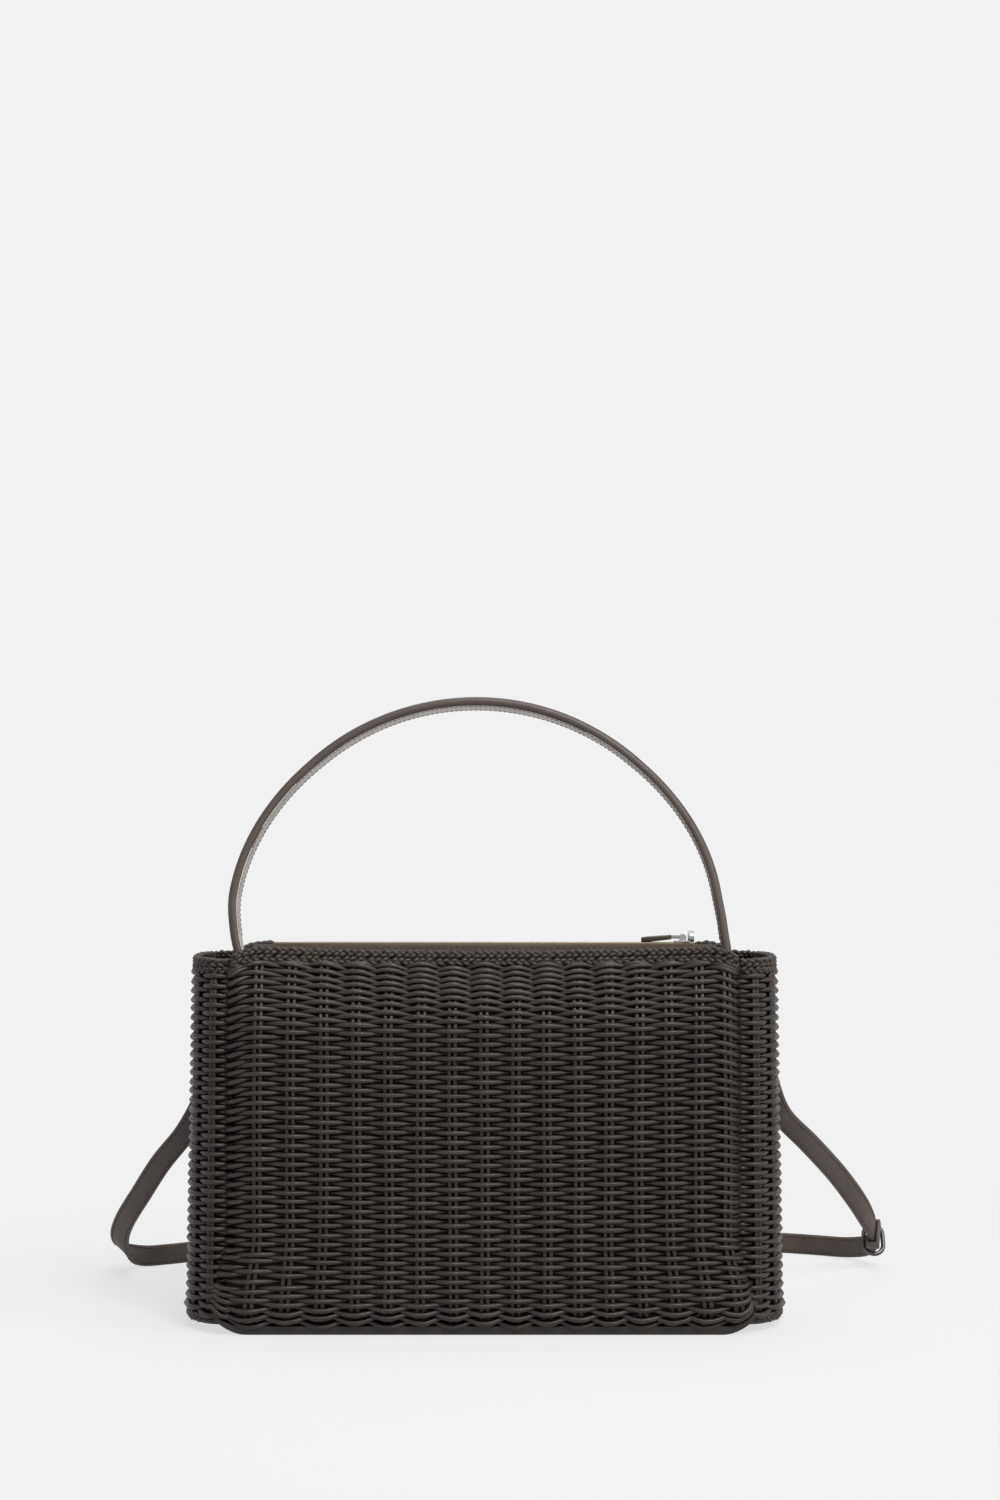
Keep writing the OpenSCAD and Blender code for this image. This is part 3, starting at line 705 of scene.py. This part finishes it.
def lining(name, surface, half, depth, segments):
    """The cloth behind a woven wall, coloured near black as painted shade seen through the gaps of the weave.
    """
    bm = bmesh.new()
    bmesh.ops.create_grid(bm, x_segments=segments, y_segments=segments, size=0.5)
    for vert in bm.verts:
        u, v = np.array([vert.co.x * 2 * half]), np.array([vert.co.y + 0.5])
        vert.co = on_wall(surface, u, v, -depth)[0]
    bmesh.ops.recalc_face_normals(bm, faces=bm.faces)
    bmesh.ops.solidify(bm, geom=bm.faces[:], thickness=LINING_T)
    return to_mesh(bm, name)


def plait_paths(line, up, out, length, height, depth, rng, hand=1):
    """Strands of a slightly uneven plait along a line, with up and out the directions of its face."""
    run = run_of(line)
    wander = PLAIT_WANDER * np.sin(run / length * PLAIT_WANDER_RATE + rng.uniform(*WAVE_START))
    turn = hand * 2 * math.pi * run / length + wander
    paths = []
    for k in range(PLAIT_STRANDS):
        a = turn + 2 * math.pi * k / PLAIT_STRANDS + rng.normal(0, PLAIT_START)
        wave = np.sin(run / length * rng.uniform(*PLAIT_LOOSE_RATES) + rng.uniform(*WAVE_START))
        loose = 1 + PLAIT_LOOSE * wave
        rises, swings = height * loose * np.sin(a), depth * loose * np.sin(2 * a)
        paths.append(line + up * rises[:, None] + out * swings[:, None])
    return paths


def border_paths(line, up, out, s, rng):
    """Two plaits one over the other, leaning opposite ways, as paths above a line."""
    paths = []
    for height, hand in ((s.border_low, 1), (s.border_high, -1)):
        paths += plait_paths(
            line + up * height, up, out, s.plait_length, s.plait_swing, s.plait_depth, rng, hand)
    return paths


def wing_sides(line):
    """The upward and the outward directions along a level line round a wing."""
    heading = unit(np.gradient(line, axis=0))
    out = np.stack([heading[:, 1], -heading[:, 0], 0 * heading[:, 2]], -1)
    return np.tile([0.0, 0, 1], (len(line), 1)), out


class BAG_OT_panels(bpy.types.Operator):
    """Weaves the front and back panels"""
    bl_idname = "bag.panels"
    bl_label = "Front and back panels"

    def execute(self, context):
        s = context.scene.bag_sizes
        rng = np.random.default_rng(SEED)
        heights = even_rows(panel_point, 0, s.row_pitch, PACKING)
        count = np.arange(-1, STAKES + 1.01, 0.25)
        place = STAKE_FIRST + STAKE_STEP * count - STAKE_CLOSING * count ** 2
        u = np.linspace(-HALF_W + PANEL_MARGIN, HALF_W - PANEL_MARGIN, STAKES * ROW_POINTS + 1)
        bow = ARCH - ARCH_LOSS * np.abs(u / HALF_W) ** ARCH_LOSS_POWER
        rows, radii = woven_paths(panel_point, u, np.interp(u, place, count), run_out(heights, u),
                                  s.weave_swing, bow, PANEL_TAILS, rng)
        middles = np.interp(np.arange(STAKES), count, place)
        uprights = stake_paths(panel_point, middles, s.stake_spread, s.weave_swing + STAKE_SINK,
                               STAKE_POINTS, STAKE_WANDER, rng)
        for side in ("front", "back"):
            meshes = {
                "weave": cords_mesh(side + "_weave", rows, s.cord_radius, radii=radii),
                "stakes": cords_mesh(side + "_stakes", uprights, s.stake_radius),
                "lining": lining(side + "_lining", panel_point, *PANEL_LINING),
            }
            for part, mesh in meshes.items():
                spread_foot(mesh)
                if side == "back":
                    mesh = settle(mirrored(mesh, "Y"))
                # the cloth behind the weave takes the near-black colour, painted shade for the gaps
                finish = leather_of("lining" if part == "lining" else "cord")
                node = side + "_panel" if part == "weave" else None
                link(f"{side}_{part}", mesh, finish, node)
        return {"FINISHED"}


class BAG_OT_wings(bpy.types.Operator):
    """Weaves the two side gussets and closes their feet"""
    bl_idname = "bag.wings"
    bl_label = "Side gussets"

    def execute(self, context):
        s = context.scene.bag_sizes
        rng = np.random.default_rng(SEED + 1)
        heights = even_rows(wing_point, 0, s.row_pitch)
        u = np.linspace(-WING_SHARE, WING_SHARE, WING_STAKES * ROW_POINTS + 1)
        phase = (u / WING_SHARE + 1) / 2 * WING_STAKES - 0.5
        rows, radii = woven_paths(wing_point, u, phase, heights, s.weave_swing, 0, WING_TAILS, rng)
        middles = ((np.arange(WING_STAKES) + 0.5) / WING_STAKES * 2 - 1) * WING_SHARE
        uprights = stake_paths(wing_point, middles, s.stake_spread / WING_SPAN, s.weave_swing + STAKE_SINK,
                               WING_STAKE_POINTS, STAKE_WANDER / WING_SPAN, rng)
        # the wings' lining also takes the near-black colour, painted shade for the gaps
        finishes = {"gusset_lining": "lining", "wing_foot": "base"}
        nodes = {"weave": "_gusset", "wing_foot": "_wing_floor"}
        for side in ("right", "left"):
            meshes = {
                "weave": cords_mesh(side + "_weave", rows, s.cord_radius, radii=radii),
                "gusset_stakes": cords_mesh(side + "_stakes", uprights, s.stake_radius),
                "gusset_lining": lining(side + "_lining", wing_point, *WING_LINING),
                "wing_foot": self.foot(side + "_foot"),
                "wing_foot_plait": self.foot_plait(side + "_foot_plait", s),
            }
            for part, mesh in meshes.items():
                if side == "left":
                    mesh = mirrored(mesh, "X")
                finish = leather_of(finishes.get(part, "cord"))
                node = side + nodes[part] if part in nodes else None
                link(f"{side}_{part}", mesh, finish, node)
        return {"FINISHED"}

    def foot(self, name):
        """The leather that closes the foot of a wing."""
        bm = bmesh.new()
        t = np.linspace(-1, 1, SOLE_POINTS)
        plan = wing_plan(t, FLOOR_HIGH.z, SOLE_IN)
        plan[:, 2] = FLOOR_LOW.z + SOLE_UP
        top = drawn_out(bm, bm.faces.new([bm.verts.new(p) for p in plan]))
        bmesh.ops.translate(bm, vec=(0, 0, FLOOR_HIGH.z - FLOOR_LOW.z - SOLE_LESS), verts=top.verts)
        bmesh.ops.recalc_face_normals(bm, faces=bm.faces)
        return to_mesh(soften(bm, FLOOR_EDGE, 60), name)

    def foot_plait(self, name, s):
        """The plaited border round the foot of a wing."""
        t = np.linspace(-HEM_SHARE, HEM_SHARE, HEM_POINTS)
        line = wing_plan(t, (FLOOR_LOW.z + WING_LOW.z) / 2 + HEM_UP, HEM_IN)
        paths = plait_paths(line, *wing_sides(line), s.plait_length, HEM_SWING, HEM_DEPTH,
                            np.random.default_rng(SEED + 3))
        return cords_mesh(name, paths, HEM_R)


class BAG_OT_rims(bpy.types.Operator):
    """Plaits the borders of the mouth and of the wings"""
    bl_idname = "bag.rims"
    bl_label = "Plaited rims"

    def execute(self, context):
        s = context.scene.bag_sizes
        rng = np.random.default_rng(SEED + 2)
        x = np.linspace(-HALF_W, HALF_W, RIM_POINTS)
        top = panel_point(x, 1)
        up = unit(unit(top - panel_point(x, RIM_BELOW)) + np.array([0, 0, 1.0]))
        out = unit(np.cross(np.gradient(top, axis=0), up))
        paths = border_paths(top - out * RIM_IN, up, out, s, rng)
        long_rim = cords_mesh("front_plait", paths, s.plait_radius)
        t = np.linspace(-1, 1, WING_RIM_POINTS)
        line = wing_plan(t, WING_HIGH.z, WING_RIM_IN)
        short_rim = cords_mesh("right_plait", border_paths(line, *wing_sides(line), s, rng), s.plait_radius)
        for node, mesh in (("front_rim", long_rim), ("back_rim", settle(mirrored(long_rim, "Y"))),
                           ("right_rim", short_rim), ("left_rim", mirrored(short_rim, "X"))):
            link(node.replace("rim", "plait"), mesh, leather_of("cord"), node)
        return {"FINISHED"}


class BAG_OT_base(bpy.types.Operator):
    """Shapes the smooth leather base"""
    bl_idname = "bag.base"
    bl_label = "Base"

    def execute(self, context):
        finish = leather_of("base")
        spread_foot(dress("base_panel", "base", BASE_EDGE, finish).data)
        for side in ("left", "right"):
            dress(side + "_band", side + "_band_leather", BAND_EDGE, finish)
        return {"FINISHED"}


class BAG_OT_handle(bpy.types.Operator):
    """Bends the carrying handle and stitches it"""
    bl_idname = "bag.handle"
    bl_label = "Handle"

    def execute(self, context):
        s = context.scene.bag_sizes
        across = Vector((0, 1, 0))
        rings, lines = [], {side: ([], []) for side in (-1, 1)}
        for centre, out in self.centre_line():
            rings.append([centre + out * a + across * b for a, b in self.section()])
            if centre.z < STITCHED_FROM:
                continue
            for side, (line, facing) in lines.items():
                line.append(centre - out * HANDLE_T / 2 + across * side * (HANDLE_W / 2 - HANDLE_SEAM))
                facing.append(-out)
        mesh = to_mesh(loft(rings), "handle_strap")
        self.pose(mesh)
        finishes = [leather_of("handle"), leather_of("underside")]
        link("handle_strap", mesh, finishes, "handle", "handle")
        self.paint_underside(mesh)
        paths = []
        for line, facing in lines.values():
            pitch = s.stitch_pitch * HANDLE_STITCH
            paths += stitches(np.array(line), np.array(facing), pitch, s.thread_radius)
        sewn = cords_mesh("handle_stitches", paths, s.thread_radius, 0)
        self.pose(sewn)
        finish = thread("Handle thread", linear(120, 110, 104))
        link("handle_stitches", sewn, finish, body="handle")
        return {"FINISHED"}

    def centre_line(self):
        """Places along the handle, with the direction of its outer face."""
        arch_z = HANDLE_RISE - HANDLE_R - HANDLE_T / 2
        heights = np.linspace(-HANDLE_W / 2, arch_z, 6)[:-1]
        places = [(Vector((HANDLE_R, 0, z)), Vector((1, 0, 0))) for z in heights]
        for a in np.linspace(0, math.pi, 97):
            out = Vector((math.cos(a), 0, math.sin(a)))
            places.append((out * HANDLE_R + Vector((0, 0, arch_z)), out))
        return places + [(Vector((-HANDLE_R, 0, z)), Vector((-1, 0, 0))) for z in reversed(heights)]

    def section(self):
        """Cross-section of the handle: a flat strip with rounded edges."""
        high, wide, points = HANDLE_T / 2 - HANDLE_EDGE, HANDLE_W / 2 - HANDLE_EDGE, []
        for quarter, (sa, sb) in enumerate(((1, 1), (-1, 1), (-1, -1), (1, -1))):
            for k in range(6):
                a = math.pi / 2 * (quarter + k / 5)
                points.append((sa * high + HANDLE_EDGE * math.cos(a), sb * wide + HANDLE_EDGE * math.sin(a)))
        return points

    def pose(self, mesh):
        """Leans the handle back, sways it to the left and turns its legs a little."""
        lean_back = Matrix.Rotation(-HANDLE_LEAN, 3, "X")
        for vert in mesh.vertices:
            p = vert.co.copy()
            free = float(rise(p.z, *(HANDLE_FREE if p.x < 0 else HANDLE_FREE_RIGHT)))
            side = max(-1, min(1, p.x / HANDLE_TURN_W))
            p.x += -side * p.y * math.sin(HANDLE_TURN) * free * side
            p.x -= free * HANDLE_SWAY + HANDLE_TOP_SWAY * float(rise(p.z, *HANDLE_TOP_FROM))
            p.x += side * HANDLE_BELLY * math.sin(math.pi * max(0, min(1, p.z / HANDLE_BELLY_H)))
            vert.co = lean_back @ p + Vector((0, 0, HINGE_Z))

    def paint_underside(self, mesh):
        """Gives the inner face the pale lining."""
        hub = Vector((0, 0, HINGE_Z))
        for face in mesh.polygons:
            inward = hub - face.center
            inward.y = 0
            if abs(face.center.x) > HANDLE_R * LEG_FROM:
                inward = Vector((-face.center.x, 0, 0))
            face.material_index = 1 if face.normal.dot(inward.normalized()) > UNDERSIDE_FROM else 0


class BAG_OT_strap(bpy.types.Operator):
    """Lays the shoulder strap with its tabs, ring and keeper"""
    bl_idname = "bag.strap"
    bl_label = "Shoulder strap"

    def execute(self, context):
        s, c = context.scene.bag_sizes, context.scene.bag_colours
        finish = leather_of("strap")
        line = smooth_line(STRAP_ROUTE, STRAP_POINTS)
        heading = unit(np.gradient(line, axis=0))
        heading[0], heading[-1] = (0, 0, -1), (0, 0, 1)
        across = self.across(line, heading)
        face = np.cross(heading, across)
        w, t = s.strap_width / 2, s.strap_thickness / 2
        half = [(w * u, t * v) for u, v in STRAP_HALF_SECTION]
        section = half + [(-u, -v) for u, v in half]
        rings = [[Vector(p + a * u + f * v) for u, v in section] for p, a, f in zip(line, across, face)]
        strap = link("strap", to_mesh(loft(rings), "strap"), finish, "shoulder_strap")
        paths = []
        for side in (-1, 1):
            for front in (-1, 1):
                row = line + across * side * (w - STRAP_SEAM) + face * front * t
                paths += stitches(row, face * front, s.stitch_pitch, s.thread_radius)
        sewn = link("strap_stitches", cords_mesh("strap_stitches", paths, s.thread_radius, 0),
                    thread("Strap thread", linear(46, 40, 36)))
        for node in ("left_strap_tab", "right_strap_tab"):
            dress(node, node + "_leather", STRAP_EDGE, finish)
        keeper = dress("strap_keeper", "keeper_leather", STRAP_EDGE, finish)
        steel = metal("Dark steel", c.steel, (0.2, 0.35))
        ring = dress("strap_ring", "ring", RING_EDGE, steel)
        for piece in (keeper, ring):
            piece.data.transform(Matrix.Translation((STRAP_SHIFT, 0, 0)))
        return {"FINISHED"}

    def across(self, line, heading):
        """Direction of the strap's width: along the tabs at its ends, upright where it lies."""
        knots = np.array([np.argmin(np.linalg.norm(line - p, axis=1)) for p in STRAP_ROUTE])
        place = np.interp(np.arange(len(line)), knots, np.arange(len(STRAP_ROUTE)))
        last = len(STRAP_ROUTE) - 1
        near = np.minimum(place, last - place)[:, None]
        hung = np.clip(near / STRAP_TWIST_POINTS, 0, 1)
        first = (place < last / 2)[:, None]
        start = np.where(first, STRAP_LYING_LEFT, STRAP_LYING_FROM)
        laid = rise(near, start, start + STRAP_LYING_POINTS)
        tangent = unit(wing_plan(TAB_SHARE + TAB_STEP, TAB_Z) - wing_plan(TAB_SHARE - TAB_STEP, TAB_Z))
        tab = np.where(first, np.array([tangent[0], -tangent[1], 0]), np.array([-tangent[0], -tangent[1], 0]))
        slope = np.where(first, -1, 1) * np.array([math.cos(STRAP_TILT), 0, 0])
        slope = slope + np.array([0, 0, math.sin(STRAP_TILT)])
        ref = (1 - laid) * ((1 - hung) * tab + hung * slope) + laid * np.array([0, 0, 1.0])
        return unit(ref - (ref * heading).sum(1, keepdims=True) * heading)


class BAG_OT_zip(bpy.types.Operator):
    """Dresses the zip: facings, teeth, ends, slider and pull"""
    bl_idname = "bag.zip"
    bl_label = "Zip"

    def execute(self, context):
        c = context.scene.bag_colours
        tape = woven_tape("Zip tape", c.tape)
        brass, silver = metal("Brass", c.brass), metal("Silver", c.silver)
        steel = metal("Dark steel", c.steel)
        for side in ("front", "back"):
            dress(side + "_facing", side + "_tape", TAPE_EDGE, tape)
        for side in ("left", "right"):
            dress(side + "_zip_end", side + "_tape_end", TAPE_END_EDGE, tape)
        self.sew_tape(context)
        pull = dress("pull_tab", "pull_leather", PULL_EDGE, leather_of("pull"), "pull")
        self.shape_pull(pull.data)
        for side in ("front", "back"):
            teeth = dress(side + "_teeth", side + "_brass", ZIP_EDGE, brass)
            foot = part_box(side + "_teeth")[0].z
            for vert in teeth.data.vertices:
                vert.co.z = foot + (vert.co.z - foot) * TOOTH_STRETCH
        self.slider(silver)
        self.crown(silver)
        for node, finish in (("pull_link", silver), ("left_rivet", steel), ("right_rivet", steel)):
            data = frame["nodes"][node].data
            data.materials.clear()
            data.materials.append(finish)
        return {"FINISHED"}

    def slider(self, finish):
        """The slider, its upper plate hollowed so that the teeth pass under it."""
        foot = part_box("zip_slider")[0].z
        low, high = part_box("front_teeth")
        ceiling = low.z + high.z - foot - SLIDER_PLATE
        bm = copy_of_node("zip_slider")
        for vert in bm.verts:
            if abs(vert.co.z - ceiling) < 0.01 * MM:
                vert.co.z += SLIDER_CEILING
        mesh = to_mesh(soften(bm, ZIP_EDGE), "slider_body")
        link("slider_body", mesh, finish, "zip_slider", "slider")

    def crown(self, finish):
        """The bridge on the slider: a flat strip bent from front to back over its plate."""
        bm = bmesh.new()
        bmesh.ops.create_grid(bm, x_segments=1, y_segments=1, size=0.5)
        bmesh.ops.scale(bm, vec=(CROWN_W, CROWN_T, 1), verts=bm.verts)
        bmesh.ops.translate(bm, vec=(CROWN_X, -CROWN_R, CROWN_FOOT), verts=bm.verts)
        leg = PIVOT.z - CROWN_FOOT
        end = drawn_out(bm, bm.faces[:][0])
        bmesh.ops.translate(bm, vec=(0, 0, leg), verts=end.verts)
        bent = bmesh.ops.spin(bm, geom=[end, *end.edges, *end.verts], cent=(CROWN_X, 0, PIVOT.z),
                              axis=(1, 0, 0), angle=-math.pi, steps=14)["geom_last"]
        end = drawn_out(bm, next(g for g in bent if isinstance(g, bmesh.types.BMFace)))
        bmesh.ops.translate(bm, vec=(0, 0, -leg), verts=end.verts)
        clear_inside(bm)
        mesh = to_mesh(soften(bm, CROWN_EDGE, 40), "slider_crown")
        link("slider_crown", mesh, finish, body="slider")

    def shape_pull(self, mesh):
        """Draws the leather of the pull out to a narrow neck at the slider and lets its end droop."""
        low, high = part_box("pull_tab")
        middle = (low.z + high.z) / 2
        for vert in mesh.vertices:
            share = (high.x - vert.co.x) / (high.x - low.x)
            neck = 1 - PULL_NECK * float(rise(-share, *PULL_NECK_FROM))
            vert.co.x = high.x + PULL_OVER - share * PULL_L
            vert.co.z = middle + (vert.co.z - middle) * neck * (1 - PULL_THIN * share) - PULL_DROOP * share

    def sew_tape(self, context):
        """Two rows of stitches along each facing of the zip."""
        s = context.scene.bag_sizes
        teeth_low, teeth_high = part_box("front_teeth")
        high = np.array([-TAPE_FLAT, (teeth_low.z + teeth_high.z + TAPE_T) / 2])
        low_z = PANEL_TOP - RIM_SAG - TAPE_DROP
        low = np.array([panel_wall(0, low_z) + WALL_T + TAPE_GAP, low_z])
        out = unit(np.array([low[1] - high[1], high[0] - low[0]]))
        x = np.linspace(teeth_low.x, teeth_high.x, TAPE_POINTS)
        face = np.tile([0, *out], (TAPE_POINTS, 1))
        paths = []
        for share in TAPE_SEAMS:
            y, z = high + (low - high) * share
            row = np.stack([x, np.full(TAPE_POINTS, y), np.full(TAPE_POINTS, z)], -1)
            paths += stitches(row, face, s.stitch_pitch, s.thread_radius)
        sewn = cords_mesh("front_tape_stitches", paths, s.thread_radius, 0)
        finish = thread("Tape thread", linear(48, 38, 30))
        for side, mesh in (("front", sewn), ("back", mirrored(sewn, "Y"))):
            link(side + "_tape_stitches", mesh, finish)


class BAG_OT_stage(bpy.types.Operator):
    """Sets the pale floor, the soft light and the camera"""
    bl_idname = "bag.stage"
    bl_label = "Stage"

    def execute(self, context):
        scene = context.scene
        self.floor(scene)
        self.lights(scene)
        self.camera(scene)
        scene.view_settings.view_transform = "Standard"
        return {"FINISHED"}

    def floor(self, scene):
        """A wide floor that shows as the pale backdrop and keeps the bag's shadow."""
        bm = bmesh.new()
        bmesh.ops.create_grid(bm, x_segments=2, y_segments=2, size=FLOOR_SIZE)
        floor = bpy.data.objects.new("floor", to_mesh(bm, "floor"))
        scene.collection.objects.link(floor)
        colour = (*scene.bag_colours.floor, 1)
        material, tree, shader = new_material("Pale floor", {"Base Color": colour, "Roughness": 0.9})
        glow = add_node(tree, "Emission", {"Color": colour})
        place = add_node(tree, "TexCoord")
        away = add_node(tree, "VectorMath", operation="LENGTH")
        fade = add_node(
            tree, "MapRange",
            {"From Min": FLOOR_FADE[0], "From Max": FLOOR_FADE[1], "To Min": FLOOR_GLOW},
            interpolation_type="SMOOTHSTEP")
        share = add_node(tree, "Math", operation="MULTIPLY")
        connect(
            tree, (place, "Object", away, 0), (away, "Value", fade, "Value"), (seen(tree), 0, share, 0),
            (fade, 0, share, 1))
        blend(tree, share, shader, glow, "Material Output")
        floor.data.materials.append(material)

    def lights(self, scene):
        """A pale world and three broad lamps."""
        world = bpy.data.worlds.new("Pale world")
        scene.world = world
        world.use_nodes = True
        tree = world.node_tree
        ambient = set_inputs(tree.nodes["Background"], {"Color": (1, 1, 1, 1), "Strength": AMBIENT})
        backdrop = add_node(tree, "Background", {"Color": (*scene.bag_colours.floor, 1)})
        blend(tree, seen(tree), ambient, backdrop, "World Output")
        for name, (place, size, power) in LAMPS.items():
            lamp = bpy.data.lights.new(name, "AREA")
            lamp.size = size
            lamp.energy = power
            holder = bpy.data.objects.new(name, lamp)
            holder.location = place
            holder.rotation_euler = (LAMP_AIM - Vector(place)).to_track_quat("-Z", "Y").to_euler()
            scene.collection.objects.link(holder)

    def camera(self, scene):
        """The photograph's level view of the front."""
        camera = bpy.data.cameras.new("camera")
        camera.sensor_fit = "VERTICAL"
        camera.sensor_height = CAMERA_SENSOR
        camera.lens = CAMERA_LENS
        holder = bpy.data.objects.new("camera", camera)
        holder.location = (CAMERA_X, -HALF_D - CAMERA_DISTANCE, CAMERA_HEIGHT)
        holder.rotation_euler = (math.pi / 2, 0, 0)
        scene.collection.objects.link(holder)
        scene.camera = holder


OPERATORS = (BAG_OT_stage, BAG_OT_strap, BAG_OT_panels, BAG_OT_wings, BAG_OT_rims, BAG_OT_base, BAG_OT_handle,
             BAG_OT_zip)


class BAG_PT_sidebar(bpy.types.Panel):
    """Lists the bag's pieces, sizes and colours"""
    bl_label = "Woven bag"
    bl_idname = "BAG_PT_sidebar"
    bl_space_type = "VIEW_3D"
    bl_region_type = "UI"
    bl_category = "Bag"

    def draw(self, context):
        for group in (context.scene.bag_sizes, context.scene.bag_colours):
            for name in group.__annotations__:
                self.layout.prop(group, name)
        for operator in OPERATORS:
            self.layout.operator(operator.bl_idname)


CLASSES = (BagSizes, BagColours, *OPERATORS, BAG_PT_sidebar)


def register():
    """Adds the sizes, the colours, the operators and the sidebar."""
    for cls in CLASSES:
        bpy.utils.register_class(cls)
    bpy.types.Scene.bag_sizes = bpy.props.PointerProperty(type=BagSizes)
    bpy.types.Scene.bag_colours = bpy.props.PointerProperty(type=BagColours)


def unregister():
    """Takes out what register adds."""
    del bpy.types.Scene.bag_sizes
    del bpy.types.Scene.bag_colours
    for cls in reversed(CLASSES):
        bpy.utils.unregister_class(cls)


def main():
    """Builds the whole bag."""
    register()
    for operator in OPERATORS:
        getattr(bpy.ops.bag, operator.bl_idname.split(".")[1])()


if __name__ == "__main__":
    main()
